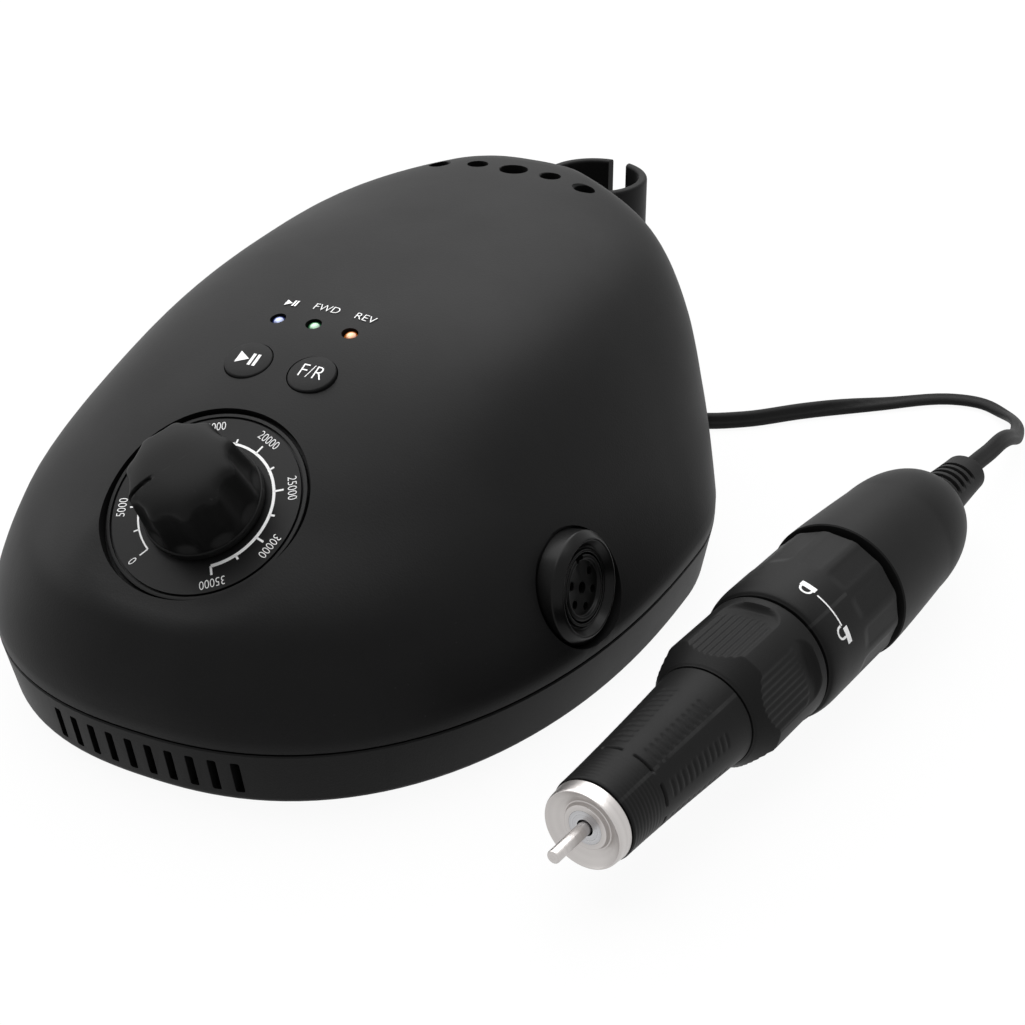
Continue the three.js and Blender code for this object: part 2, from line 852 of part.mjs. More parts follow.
function lampLens(p) {
  const top = p.z + lampProud;
  return shifted(turned([
    [0, boardTop + gap],
    [lampRadius, boardTop + gap],
    [lampRadius, top - lampRadius / 3],
    [lampRadius * 0.7, top - lampRadius / 12],
    [0, top],
  ], smallSides), p.x, p.y, 0);
}

function roundedPlate(width, ahead, behind, thickness, corner) {
  const shape = new THREE.Shape();
  const half = width / 2;
  shape.moveTo(-half + corner, -ahead);
  shape.lineTo(half - corner, -ahead);
  shape.absarc(half - corner, -ahead + corner, corner, -quarterTurn, 0);
  shape.lineTo(half, behind - corner);
  shape.absarc(half - corner, behind - corner, corner, 0, quarterTurn);
  shape.lineTo(-half + corner, behind);
  shape.absarc(-half + corner, behind - corner, corner, quarterTurn, 2 * quarterTurn);
  shape.lineTo(-half, -ahead + corner);
  shape.absarc(-half + corner, -ahead + corner, corner, 2 * quarterTurn, 3 * quarterTurn);
  const options = { depth: thickness, bevelEnabled: false, curveSegments: cornerSegments };
  return new THREE.ExtrudeGeometry(shape, options);
}

function controlBoard() {
  const plate = roundedPlate(boardWidth, boardAhead, boardBehind, boardThickness, boardCorner);
  return shifted(plate, 0, 0, boardTop - boardThickness);
}

function pushSwitch(p) {
  const bottom = boardTop + gap;
  const body = block(switchSize, switchSize, bottom, bottom + switchHeight - gap);
  const plungerTop = bottom + switchHeight + switchPlungerHeight - gap;
  const plunger = disc(switchPlungerRadius, bottom + tiny, plungerTop, smallSides);
  return shifted(join(body, plunger), p.x, p.y, 0);
}

// Socket for the handpiece plug
function socketRing() {
  const seat = -socketSeat + gap;
  const bore = insertRadius + gap;
  return turned([
    [bore, -socketBarrelLength],
    [socketBarrelRadius, -socketBarrelLength],
    [socketBarrelRadius, seat],
    [socketRadius, seat],
    [socketRadius, socketProud - socketBevel],
    [socketRadius - socketBevel, socketProud],
    [bore, socketProud],
    [bore, -socketBarrelLength],
  ]);
}

function contactAngles() {
  const angles = [];
  for (let i = 0; i < contactCount; i += 1) {
    angles.push(-quarterTurn - contactArc / 2 + contactArc * i / (contactCount - 1));
  }
  return angles;
}

function socketInsert() {
  const top = socketProud - insertBelowRim;
  const body = disc(insertRadius, top - insertLength, top);
  const holes = contactAngles().map((angle) => shifted(
    disc(contactHoleRadius, top - contactHoleDepth, top + overrun, pinSides),
    contactCircle * Math.cos(angle),
    contactCircle * Math.sin(angle),
    0,
  ));
  const notch = disc(contactHoleRadius * 1.4, top - overrun, top + overrun, pinSides);
  const key = shifted(notch, 0, insertRadius, 0);
  return cut(body, key, ...holes);
}

// Supply jack and power rocker, in their placements on the rear
function supplyJack() {
  const seat = -rearSeatDepth + gap;
  const barrel = jackRadius - jackFlange;
  return turned([
    [0, seat - jackDepth - jackFlange],
    [barrel, seat - jackDepth - jackFlange],
    [barrel, seat],
    [jackRadius, seat],
    [jackRadius, seat + jackFlange],
    [jackBore, seat + jackFlange],
    [jackBore, seat - jackDepth],
    [jackPinRadius, seat - jackDepth],
    [jackPinRadius, seat - jackPinRadius],
    [0, seat - jackPinRadius / 2],
  ], smallSides);
}

function rockerFrame() {
  const seat = -rearSeatDepth + gap;
  const [wide, high] = [rockerWidth + 2 * rockerFrameWall, rockerHeight + 2 * rockerFrameWall];
  const flange = block(wide, high, seat, seat + rockerFrameWall);
  const barrelWall = rockerFrameWall * rockerBarrelShare;
  const barrelEnd = seat - rockerFrameDepth;
  const barrel = block(rockerWidth + barrelWall, rockerHeight + barrelWall, barrelEnd, seat + tiny);
  const opening = block(
    rockerWidth - rockerFrameWall,
    rockerHeight - rockerFrameWall,
    barrelEnd + rockerFrameWall,
    seat + rockerFrameWall + overrun,
  );
  return cut(join(flange, barrel), opening);
}

// Rocker with ends that are arcs about its pivot, turned to one side of its travel
function powerRocker() {
  const reachOut = (rockerHeight - rockerFrameWall) / 2 - rockerClearance;
  const width = rockerWidth - rockerFrameWall - 2 * rockerClearance;
  const corner = new THREE.Vector2(reachOut * Math.cos(rockerCorner), reachOut * Math.sin(rockerCorner));
  const shape = new THREE.Shape();
  shape.absarc(0, 0, reachOut, -rockerCorner, rockerCorner);
  shape.lineTo(0, rockerPivotDepth);
  shape.lineTo(-corner.x, corner.y);
  shape.absarc(0, 0, reachOut, Math.PI - rockerCorner, Math.PI + rockerCorner);
  const options = { depth: width, bevelEnabled: false, curveSegments: rockerSegments };
  const body = new THREE.ExtrudeGeometry(shape, options);
  body.translate(0, 0, -width / 2).rotateZ(rockerTilt);
  const across = new THREE.Vector3(1, 0, 0);
  const along = new THREE.Vector3(0, 1, 0);
  body.applyMatrix4(new THREE.Matrix4().makeBasis(along, upward, across));
  return shifted(body, 0, 0, -rockerPivotDepth);
}

// Rest for the handpiece: an open ring on a neck that follows the rear of the case
function handpieceRest() {
  const outer = restInner + restWall;
  const bottom = restTop - restHeight;
  const ring = shifted(tube(restInner, outer, bottom, restTop), 0, restY, 0);
  const reachBack = restY - rearY(0, restTop) + rearReach;
  const neck = shifted(
    block(restNeckWidth, reachBack, restTop - restNeckHeight - restWall, restTop - restWall),
    0,
    restY - reachBack / 2,
    0,
  );
  const bore = shifted(disc(restInner, bottom - overrun, restTop + overrun), 0, restY, 0);
  const opening = block(restSlot, outer * 2, bottom - overrun, restTop + overrun);
  const slot = shifted(opening, 0, restY + outer, 0);
  return cut(cut(join(ring, neck), bore, slot), restCutter());
}

// The case grown by the gap, which the neck is cut to
function restCutter() {
  return dome(-gap, caseSides, caseLevels, [sectionRing(section(0, -gap), caseSides, baseBottom)]);
}

// Driver board with its heat sink and capacitors
const driverBottom = baseBottom + trayFloor + driverLift + gap;
const driverTop = driverBottom + boardThickness;

function driverBoard() {
  const plate = roundedPlate(driverWidth, driverLength / 2, driverLength / 2, boardThickness, boardCorner);
  return shifted(plate, 0, driverY, driverBottom);
}

function heatSink() {
  const pitch = sinkWidth / (sinkFins - (1 - sinkFinShare));
  const fin = pitch * sinkFinShare;
  const half = sinkWidth / 2;
  const shape = new THREE.Shape();
  shape.moveTo(-half, 0);
  shape.lineTo(half, 0);
  for (let i = sinkFins - 1; i >= 0; i -= 1) {
    const left = -half + i * pitch;
    shape.lineTo(left + fin, sinkDepth);
    shape.lineTo(left, sinkDepth);
    if (i > 0) {
      shape.lineTo(left, sinkBase);
      shape.lineTo(left - pitch + fin, sinkBase);
    }
  }
  const body = new THREE.ExtrudeGeometry(shape, { depth: sinkHeight, bevelEnabled: false });
  return shifted(body, 0, driverY + sinkPlace - sinkDepth / 2, driverTop + gap);
}

function capacitor(side) {
  const edge = gap;
  const can = turned([
    [0, 0],
    [capacitorRadius, 0],
    [capacitorRadius, capacitorHeight - edge],
    [capacitorRadius - edge, capacitorHeight],
    [0, capacitorHeight],
  ], smallSides);
  return shifted(can, side * capacitorX, driverY + capacitorPlace, driverTop + gap);
}

// Handpiece pieces, turned about z from the nose rim backward
const housingStart = collarEnd + gap * 2 + ringLength + gap;
const housingEnd = housingStart + housingLength;
const reliefStart = housingEnd + gap;
const reliefEnd = reliefStart + reliefLength;

function noseCap() {
  const bore = spindleNoseRadius + gap;
  const rim = noseRadius - noseFlare;
  return turned([
    [bore, noseBossSink],
    [noseBossRadius, noseBossSink],
    [noseBossRadius + noseFlare / 2, noseDish],
    [rim, noseFlare / 3],
    [noseRadius - noseFlare / 3, 0],
    [noseRadius, noseFlare],
    [gripFrontRadius - gap, noseLength / 3],
    [gripFrontRadius - gap, noseLength],
    [bore, noseLength],
    [bore, noseBossSink],
  ]);
}

function frontGrip() {
  const start = noseLength + gap;
  return turned([
    [gripBore, start],
    [gripFrontRadius, start],
    [gripRearRadius, gripEnd],
    [gripSpigotRadius, gripEnd],
    [gripSpigotRadius, collarEnd],
    [gripBore, collarEnd],
    [gripBore, start],
  ]);
}

// Collar with six recessed panels, each with ridges along it
function facetedCollar() {
  const bore = gripSpigotRadius + gap;
  const front = gripRearRadius + gap;
  const body = turned([
    [bore, collarStart],
    [front, collarStart],
    [front + (collarRadius - front) * 0.45, collarStart + collarRise * 0.3],
    [front + (collarRadius - front) * 0.85, collarStart + collarRise * 0.75],
    [collarRadius, collarStart + collarRise],
    [collarRadius, collarEnd - collarPanelDepth],
    [collarRadius - collarPanelDepth / 2, collarEnd],
    [bore, collarEnd],
    [bore, collarStart],
  ]);
  const wide = 2 * collarRadius * Math.tan(Math.PI / collarFacets) * collarPanelShare;
  const start = collarStart + collarPanelStart;
  const end = collarEnd - collarPanelEnd;
  const ridgePitch = wide / collarRidges;
  const pockets = [];
  for (let i = 0; i < collarFacets; i += 1) {
    const angle = i / collarFacets * 2 * Math.PI;
    const panelTurn = Math.PI / collarFacets * collarPanelShare;
    const floor = collarRadius * Math.cos(panelTurn) - collarPanelDepth / 2;
    for (let k = 0; k < collarRidges; k += 1) {
      const groove = block(ridgePitch * (1 - collarRidgeShare), collarRadius, start, end);
      groove.translate((k - (collarRidges - 1) / 2) * ridgePitch, floor + collarRadius / 2, 0);
      pockets.push(groove.rotateZ(angle));
    }
  }
  return cut(body, ...pockets);
}

// Twist ring: round in front, flats round its rear half
function lockRing() {
  const start = collarEnd + gap * 2;
  const end = start + ringLength;
  const sides = ringFacets * 2;
  const ring = (z, radius, depth) => {
    const points = [];
    for (let i = 0; i < sides; i += 1) {
      const angle = i / sides * 2 * Math.PI;
      const ripple = Math.abs(Math.sin(angle * ringFacets / 2));
      const size = radius - depth * (1 - ripple);
      points.push(new THREE.Vector3(size * Math.sin(angle), -size * Math.cos(angle), z));
    }
    return points;
  };
  const step = start + ringLength * (1 - ringFacetShare);
  const body = lofted([
    ring(start, ringRadius - ringEdge * 1.6, 0),
    ring(start + ringEdge, ringRadius - ringEdge * 0.6, 0),
    ring(start + ringEdge * 4, ringRadius, 0),
    ring(step, ringRadius, 0),
    ring(step + ringEdge, ringRadius, ringFacetDepth),
    ring(end - ringEdge, ringRadius, ringFacetDepth),
    ring(end, ringRadius - ringEdge, ringFacetDepth),
  ]);
  return cut(body, disc(sleeveRadius + gap, start - overrun, end + overrun));
}

function rearHousing() {
  const sleeveStart = collarEnd + gap;
  const edge = gap * 2;
  const taperEnd = housingStart + housingTaperLength;
  const rise = housingEnd - taperEnd;
  const profile = [
    [sleeveBore, sleeveStart],
    [sleeveRadius, sleeveStart],
    [sleeveRadius, housingStart],
    [housingFront - edge, housingStart],
    [housingFront, housingStart + edge],
    [housingFront, housingStart + housingTaperLength / 4],
    [(housingFront + housingRear) / 2, housingStart + housingTaperLength * 0.62],
  ];
  for (let i = 0; i <= housingEndSteps; i += 1) {
    const turn = quarterTurn * i / housingEndSteps;
    const radius = domeEndRadius + (housingRear - domeEndRadius) * Math.cos(turn);
    profile.push([radius, taperEnd + rise * Math.sin(turn)]);
  }
  const bore = reliefSpigotRadius + gap;
  const motorEnd = housingStart + motorPlace + motorLength;
  profile.push([bore, housingEnd]);
  profile.push([bore, housingEnd - reliefSpigotLength]);
  profile.push([housingBore - wall, motorEnd + wall]);
  profile.push([housingBore, motorEnd]);
  profile.push([housingBore, housingStart + motorPlace - gap]);
  profile.push([sleeveBore, housingStart + motorPlace - gap]);
  profile.push([sleeveBore, sleeveStart]);
  return turned(profile);
}

function motor() {
  const start = housingStart + motorPlace;
  const end = start + motorLength;
  const bore = driveRadius + gap;
  const edge = gap * 3;
  return turned([
    [bore, start],
    [motorRadius - edge, start],
    [motorRadius, start + edge],
    [motorRadius, end - edge],
    [motorRadius - edge, end],
    [0, end],
    [0, end - edge * 2],
    [bore, end - edge * 2],
    [bore, start],
  ], smallSides);
}

function bearing(place) {
  const inner = spindleRadius + gap;
  const edge = gap;
  return turned([
    [inner, place],
    [bearingRadius - edge, place],
    [bearingRadius, place + edge],
    [bearingRadius, place + bearingWidth - edge],
    [bearingRadius - edge, place + bearingWidth],
    [inner, place + bearingWidth],
    [inner, place],
  ], smallSides);
}

function spindle() {
  const step = noseLength + gap;
  const driveEnd = housingStart + motorPlace + motorLength / 2;
  return turned([
    [spindleBore, spindleStart],
    [spindleNoseRadius, spindleStart],
    [spindleNoseRadius, step],
    [spindleRadius, step],
    [spindleRadius, spindleEnd],
    [driveRadius, spindleEnd],
    [driveRadius, driveEnd],
    [0, driveEnd],
    [0, spindleBoreDepth],
    [spindleBore, spindleBoreDepth],
    [spindleBore, spindleStart],
  ], smallSides);
}

function collet() {
  const end = colletStart + colletLength;
  const body = tube(colletBore, colletRadius, colletStart, end, smallSides);
  const slits = [];
  for (let i = 0; i < colletSlits; i += 1) {
    const slitEnd = colletStart + colletSlitLength;
    const slit = block(colletSlitWidth, colletRadius * 2, colletStart - overrun, slitEnd);
    slits.push(slit.translate(0, colletRadius + shankRadius / 2, 0).rotateZ(i / colletSlits * 2 * Math.PI));
  }
  return cut(body, ...slits);
}

function bitShank() {
  return turned([
    [0, -shankOut],
    [shankRadius - shankEdge, -shankOut],
    [shankRadius, -shankOut + shankEdge],
    [shankRadius, -shankOut + shankLength],
    [0, -shankOut + shankLength],
  ], smallSides);
}

function ribbedBoot(start, length, frontRadius, rearRadius, ribs, groove, spigot, spigotLength) {
  const profile = [[0, start - spigotLength], [spigot, start - spigotLength], [spigot, start]];
  const pitch = length / ribs;
  const radiusAt = (z) => frontRadius + (rearRadius - frontRadius) * (z - start) / length;
  for (let i = 0; i < ribs; i += 1) {
    const z = start + i * pitch;
    const ribEnd = z + pitch * 0.6;
    profile.push([radiusAt(z), z]);
    profile.push([radiusAt(ribEnd), ribEnd]);
    profile.push([radiusAt(ribEnd) - groove, ribEnd]);
    profile.push([radiusAt(z + pitch) - groove, z + pitch]);
  }
  profile.push([0, start + length]);
  return turned(profile, bootSides);
}

function strainRelief() {
  return ribbedBoot(
    reliefStart,
    reliefLength,
    reliefFront,
    reliefRear,
    reliefRibs,
    reliefGroove,
    reliefSpigotRadius,
    reliefSpigotLength - gap,
  );
}

// Cord
const handpiecePlace = placement(
  new THREE.Vector3(noseX, noseY, housingFront),
  new THREE.Vector3(Math.sin(gripTurn), Math.cos(gripTurn), 0),
  upward,
);
const cordStart = new THREE.Vector3(0, 0, reliefEnd + gap).applyMatrix4(handpiecePlace);
const cordStartDirection = new THREE.Vector3(0, 0, 1).transformDirection(handpiecePlace);

function coilPoint(loops) {
  const outer = coilMeanRadius + coilPitch * coilLoopsPerLayer / 2;
  const inward = loops < coilLoopsPerLayer ? loops : 2 * coilLoopsPerLayer - loops;
  const radius = outer - coilPitch * inward;
  const angle = coilStartAngle + loops * 2 * Math.PI;
  const fromMiddle = loops - coilLoopsPerLayer;
  const climb = THREE.MathUtils.smoothstep(fromMiddle, -coilClimb / 2, coilClimb / 2);
  return new THREE.Vector3(
    coilX + radius * Math.cos(angle),
    coilY + radius * Math.sin(angle),
    cordDiameter / 2 + coilLayerRise * climb,
  );
}

function coilDirection(loops) {
  const angle = coilStartAngle + loops * 2 * Math.PI;
  return new THREE.Vector3(-Math.sin(angle), Math.cos(angle), 0);
}

const coilLoops = 2 * coilLoopsPerLayer;

// Centre line of the coil: in on the lower layer, up in half a turn, out on the upper one
function coilPoints() {
  const points = [];
  for (let i = 0; i <= coilLoops * coilSteps; i += 1) {
    points.push(coilPoint(i / coilSteps));
  }
  const first = coilPoint(0).addScaledVector(coilDirection(0), -cordDiameter);
  const last = coilPoint(coilLoops).addScaledVector(coilDirection(coilLoops), coilRunOut);
  return [first, ...points, last];
}

// Tube of a few flat sides along a row of points, closed at both ends
function tubeAlong(points, radius, sides) {
  const rings = points.map((point, i) => {
    const before = points[Math.max(i - 1, 0)];
    const after = points[Math.min(i + 1, points.length - 1)];
    const along = new THREE.Vector3().subVectors(after, before).normalize();
    const frame = placement(point, along, upward);
    const ring = [];
    for (let k = 0; k < sides; k += 1) {
      const angle = (k + 0.5) / sides * 2 * Math.PI;
      const corner = new THREE.Vector3(radius * Math.cos(angle), radius * Math.sin(angle), 0);
      ring.push(corner.applyMatrix4(frame));
    }
    return ring;
  });
  return lofted(rings);
}

// Least distance between stretches of the coil that are more than half a loop apart
function leastCoilGap(points) {
  let least = Infinity;
  const apart = coilSteps / 2;
  for (let i = 0; i < points.length; i += 1) {
    for (let k = i + apart; k < points.length - 1; k += 1) {
      const stretch = new THREE.Line3(points[k], points[k + 1]);
      const nearest = stretch.closestPointToPoint(points[i], true, new THREE.Vector3());
      least = Math.min(least, nearest.distanceTo(points[i]));
    }
  }
  return least - cordDiameter;
}

function cordCoil() {
  const points = coilPoints();
  console.log('least gap of the coil to itself, mm:', leastCoilGap(points).toFixed(2));
  return tubeAlong(points, cordDiameter / 2, coilSides);
}

function cordEnd() {
  const [first] = coilPoints();
  return first.addScaledVector(coilDirection(0), -gap);
}

function cord() {
  const end = cordEnd();
  const points = [
    cordStart,
    cordStart.clone().addScaledVector(cordStartDirection, cordDiameter),
    ...cordPoints.map(([x, y, z]) => new THREE.Vector3(x, y, z)),
    end.clone().addScaledVector(coilDirection(0), -cordDiameter),
    end,
  ];
  const shape = new THREE.Shape();
  for (let i = 0; i < cordSides; i += 1) {
    const angle = (i + 0.5) / cordSides * 2 * Math.PI;
    const x = cordDiameter / 2 * Math.cos(angle);
    const y = cordDiameter / 2 * Math.sin(angle);
    if (i === 0) shape.moveTo(x, y);
    else shape.lineTo(x, y);
  }
  const path = new THREE.CatmullRomCurve3(points, false, 'centripetal');
  return new THREE.ExtrudeGeometry(shape, { steps: cordSteps, extrudePath: path, bevelEnabled: false });
}

// Plug at the far end of the cord
function plugPlacement() {
  const end = coilPoints().pop();
  const along = coilDirection(coilLoops);
  return placement(end.clone().addScaledVector(along, gap), along, upward);
}

const plugPlace = plugPlacement();

function plugBody() {
  const boot = ribbedBoot(
    0,
    plugBootLength,
    cordDiameter / 2 + reliefGroove,
    plugBootRadius,
    reliefRibs - 1,
    reliefGroove,
    cordDiameter / 2,
    0,
  );
  const start = plugBootLength;
  const end = start + plugBodyLength;
  const edge = wall;
  const grip = turned([
    [0, start - overrun],
    [plugBootRadius - reliefGroove, start - overrun],
    [plugBootRadius, start],
    [plugBodyRadius - edge / 3, start + edge],
    [plugBodyRadius, start + edge * 2],
    [plugBodyRadius, end - edge / 3],
    [plugBodyRadius - edge / 3, end],
    [0, end],
  ]);
  return join(boot, grip);
}

const plugFace = plugBootLength + plugBodyLength + gap;

function plugShell() {
  const inner = plugShellRadius - plugShellWall;
  return tube(inner, plugShellRadius, plugFace, plugFace + plugShellLength);
}

function plugContacts() {
  const radius = plugShellRadius - plugShellWall - gap;
  const face = plugFace + plugCoreLength;
  const core = disc(radius, plugFace, face);
  const pins = contactAngles().map((angle) => shifted(
    disc(plugPinRadius, face - overrun, face + plugPinLength - overrun * 2, pinSides),
    contactCircle * Math.cos(angle),
    contactCircle * Math.sin(angle),
    0,
  ));
  return join(core, ...pins);
}

// Assembly
const drill = new THREE.Group();

function add(group, name, geometry, finish) {
  const body = closed(geometry);
  body.computeVertexNormals();
  const mesh = new THREE.Mesh(body, new THREE.MeshStandardMaterial(finish));
  mesh.name = name;
  group.add(mesh);
  return mesh;
}

function placedGroup(parent, matrix) {
  const group = new THREE.Group();
  matrix.decompose(group.position, group.quaternion, group.scale);
  parent.add(group);
  return group;
}

function addControlUnit(parent) {
  add(parent, 'upper_shell', upperShell(), blackPlastic);
  add(parent, 'base_tray', baseTray(), blackPlastic);
  footPlaces.forEach(([x, y], i) => {
    add(parent, `foot_${i + 1}`, foot(), rubber).position.set(x, y, 0);
  });
  screwPlaces.forEach(([x, y], i) => {
    add(parent, `case_screw_${i + 1}`, caseScrew(), steel).position.set(x, y, baseBottom + screwSink);
  });
  add(parent, 'handpiece_rest', handpieceRest(), blackPlastic);
  add(parent, 'driver_board', driverBoard(), boardGreen);
  add(parent, 'heat_sink', heatSink(), aluminium);
  add(parent, 'capacitor_left', capacitor(-1), darkPlastic);
  add(parent, 'capacitor_right', capacitor(1), darkPlastic);
}

function addDial(parent) {
  const dial = placedGroup(parent, dialPlace);
  add(dial, 'dial_plate', dialPlate(), plateFinish);
  add(dial, 'potentiometer', potentiometer(), steel);
  add(dial, 'potentiometer_nut', potentiometerNut(), brass);
  add(dial, 'speed_knob', speedKnob(), darkPlastic);
}

function addKeys(parent) {
  const keys = placedGroup(parent, keysPlace);
  add(keys, 'control_board', controlBoard(), boardGreen);
  ['start', 'direction'].forEach((name, i) => {
    add(keys, `${name}_button`, pushButton(buttonPlaces[i]), blackPlastic);
    add(keys, `${name}_switch`, pushSwitch(buttonPlaces[i]), darkPlastic);
  });
  add(keys, 'lamp_power', lampLens(lampPlaces[0]), blueLens);
  add(keys, 'lamp_forward', lampLens(lampPlaces[1]), greenLens);
  add(keys, 'lamp_reverse', lampLens(lampPlaces[2]), orangeLens);
}

function addConnections(parent) {
  const socket = placedGroup(parent, socketPlace);
  add(socket, 'socket_ring', socketRing(), darkPlastic);
  add(socket, 'socket_insert', socketInsert(), darkPlastic);
  add(placedGroup(parent, jackPlace), 'supply_jack', supplyJack(), darkPlastic);
  const rocker = placedGroup(parent, rockerPlace);
  add(rocker, 'rocker_frame', rockerFrame(), darkPlastic);
  add(rocker, 'power_rocker', powerRocker(), darkPlastic);
}

function addHandpiece(parent) {
  const handpiece = placedGroup(parent, handpiecePlace);
  add(handpiece, 'nose_cap', noseCap(), steel);
  add(handpiece, 'front_grip', frontGrip(), blackPlastic);
  add(handpiece, 'faceted_collar', facetedCollar(), blackPlastic);
  add(handpiece, 'lock_ring', lockRing(), blackPlastic);
  add(handpiece, 'rear_housing', rearHousing(), blackPlastic);
  add(handpiece, 'motor', motor(), steel);
  add(handpiece, 'bearing_front', bearing(bearingFrontPlace), steel);
  add(handpiece, 'bearing_rear', bearing(bearingRearPlace), steel);
  add(handpiece, 'spindle', spindle(), steel);
  add(handpiece, 'collet', collet(), steel);
  add(handpiece, 'bit_shank', bitShank(), steel);
  add(handpiece, 'strain_relief', strainRelief(), rubber);
}

function addCord(parent) {
  add(parent, 'cord', cord(), rubber);
  add(parent, 'cord_coil', cordCoil(), rubber);
  const plug = placedGroup(parent, plugPlace);
  add(plug, 'plug_body', plugBody(), rubber);
  add(plug, 'plug_shell', plugShell(), steel);
  add(plug, 'plug_contacts', plugContacts(), darkPlastic);
}

const model = new THREE.Group();
drill.add(model);
addControlUnit(model);
addDial(model);
addKeys(model);
addConnections(model);
addHandpiece(model);

// The origin is under the middle of the unit and handpiece, on the surface that they stand on
const extent = new THREE.Box3().setFromObject(model, true);
const middle = extent.getCenter(new THREE.Vector3());
model.position.set(-middle.x, -middle.y, -extent.min.z);
addCord(model);

export default drill;
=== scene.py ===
# Electric nail drill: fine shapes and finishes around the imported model.
# Shapes are worked out in millimetres in the maker's frame, with the dial towards -y and +z up,
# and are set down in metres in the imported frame.

import math

import bmesh
import bpy
from mathutils import Matrix, Vector
from mathutils.bvhtree import BVHTree


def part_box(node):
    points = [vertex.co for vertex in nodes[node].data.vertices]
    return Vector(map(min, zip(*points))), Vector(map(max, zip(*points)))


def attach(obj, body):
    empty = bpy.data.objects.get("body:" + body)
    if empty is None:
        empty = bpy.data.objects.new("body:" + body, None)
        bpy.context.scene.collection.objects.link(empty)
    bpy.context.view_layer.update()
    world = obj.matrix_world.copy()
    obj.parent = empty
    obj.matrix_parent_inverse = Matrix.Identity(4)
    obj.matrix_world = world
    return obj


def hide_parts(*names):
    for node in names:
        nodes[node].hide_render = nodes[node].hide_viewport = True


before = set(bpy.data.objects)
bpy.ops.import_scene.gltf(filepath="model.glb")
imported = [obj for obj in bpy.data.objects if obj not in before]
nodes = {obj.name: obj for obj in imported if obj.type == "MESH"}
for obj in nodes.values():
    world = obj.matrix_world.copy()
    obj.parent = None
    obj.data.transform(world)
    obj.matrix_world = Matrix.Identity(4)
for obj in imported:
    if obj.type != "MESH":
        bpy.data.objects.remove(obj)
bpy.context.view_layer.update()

MM = 0.001
GAP = 0.3
OVERRUN = 1
WELD = 0.0005
FULL_TURN = 2 * math.pi
QUARTER_TURN = math.pi / 2
UP = Vector((0, 0, 1))
BACK = Vector((0, 1, 0))
RIGHT = Vector((1, 0, 0))

# Case of the control unit, as in the part's source
FRONT_REACH = 51.8
REAR_REACH = 107.5
HALF_WIDTH = 65.2
SEAM_HEIGHT = 13.2
SHOULDER_HEIGHT = 16.2
CASE_TOP = 65.6
WALL = 2.4
SEAM_STEP = 0.2
SEAM_STEP_HEIGHT = 0.3
LAST_TURN = QUARTER_TURN * 0.975
THINNEST_SHARE = 0.1
FRONT_SHARES = (1, 0.917, 0.545, 0.143, -0.294, -0.872)
REAR_SHARES = (1, 1.001, 1.003, 1.005, 0.996, 0.42)
WIDTH_SHARES = (1, 0.892, 0.767, 0.611, 0.33, 0)
WIDEST_SHARES = (0.61, 0.62)
FRONT_POWERS = (2.36, 2.36, 2.26)
REAR_POWERS = (1.85, 2.7, 2.88)
CASE_SIDES = 160
CASE_LEVELS = 44
LINER_SIDES = 64
LINER_LEVELS = 14
BISECTIONS = 40

# Base tray
BASE_BOTTOM = 1.5
TRAY_FLOOR = 2.4
TRAY_TAPER = 2.1
TRAY_EDGE = 1.5
TRAY_EDGE_STEPS = 6
LIP_HEIGHT = 3
LIP_INSET = 3
VENT_COUNT = 10
VENT_PITCH = 4.05
VENT_WIDTH = 1.6
VENT_BOTTOM = 4
VENT_TOP = 10.9

# Feet and case screws
FOOT_RADIUS = 6
FOOT_HEIGHT = 2.7
FOOT_RECESS = 1.5
FOOT_X = 34
FOOT_FRONT_Y = -16
FOOT_REAR_Y = 78
SCREW_X = 22
SCREW_FRONT_Y = -24
SCREW_REAR_Y = 88
SCREW_HEAD_RADIUS = 2.9
SCREW_HEAD_HEIGHT = 1.5
SCREW_SHANK_RADIUS = 1.4
SCREW_LENGTH = 17
SCREW_SINK = 0.8

# Speed dial
DIAL_Y = -26.8
DIAL_TILT = math.radians(33)
DIAL_RADIUS = 18.75
DIAL_DEPTH = 3.6
PLATE_BOTTOM = -3.3
PLATE_TOP = -2.3
PLATE_RADIUS = 18.4
PLATE_GROOVE_RADIUS = 17.5
PLATE_GROOVE = 0.45
RECESS_GROWTH = 0.33
RECESS_LIP = -0.9
RECESS_LIP_REACH = 27
BUSHING_RADIUS = 4.2
SCALE_START = -149
SCALE_END = 149
SCALE_LABELS = 8
SCALE_STEP = 5000
SCALE_RADIUS = 12.4
TICK_LONG = 1.75
TICK_SHORT = 1.0
LABEL_RADIUS = 15.6
LABEL_SIZE = 2.4
LABEL_SQUEEZE = 0.8
PRINT_HEIGHT = 0.03

# Speed knob
KNOB_BOTTOM = -1.8
KNOB_TOP = 11.9
KNOB_SKIRT_RADIUS = 11.1
KNOB_SKIRT_HEIGHT = 1.6
KNOB_GRIP_RADIUS = 10.75
KNOB_SHOULDER_RADIUS = 9.95
KNOB_SHOULDER = 8.4
KNOB_LOBES = 10
KNOB_FLUTE = 1.0
KNOB_HOLLOW_RADIUS = 7.4
KNOB_HOLLOW = 4.6
KNOB_SIDES = 360
KNOB_POINTER = math.radians(-140)
POINTER_START = 4.4
POINTER_WIDTH = 0.5
POINTER_DEPTH = 0.55

# Keys and lamps
BUTTON_X = 6.6
BUTTON_Y = 0.4
BUTTON_RADIUS = 4.5
BUTTON_HOLE_RADIUS = 4.66
BUTTON_PROUD = 0.55
BUTTON_DEPTH = 4.7
BUTTON_STEM_END = -6.1
LAMP_X = 7.6
LAMP_Y = 12.4
LAMP_LABEL_Y = 17.4
LAMP_RADIUS = 1.3
LAMP_HOLE_RADIUS = 1.55

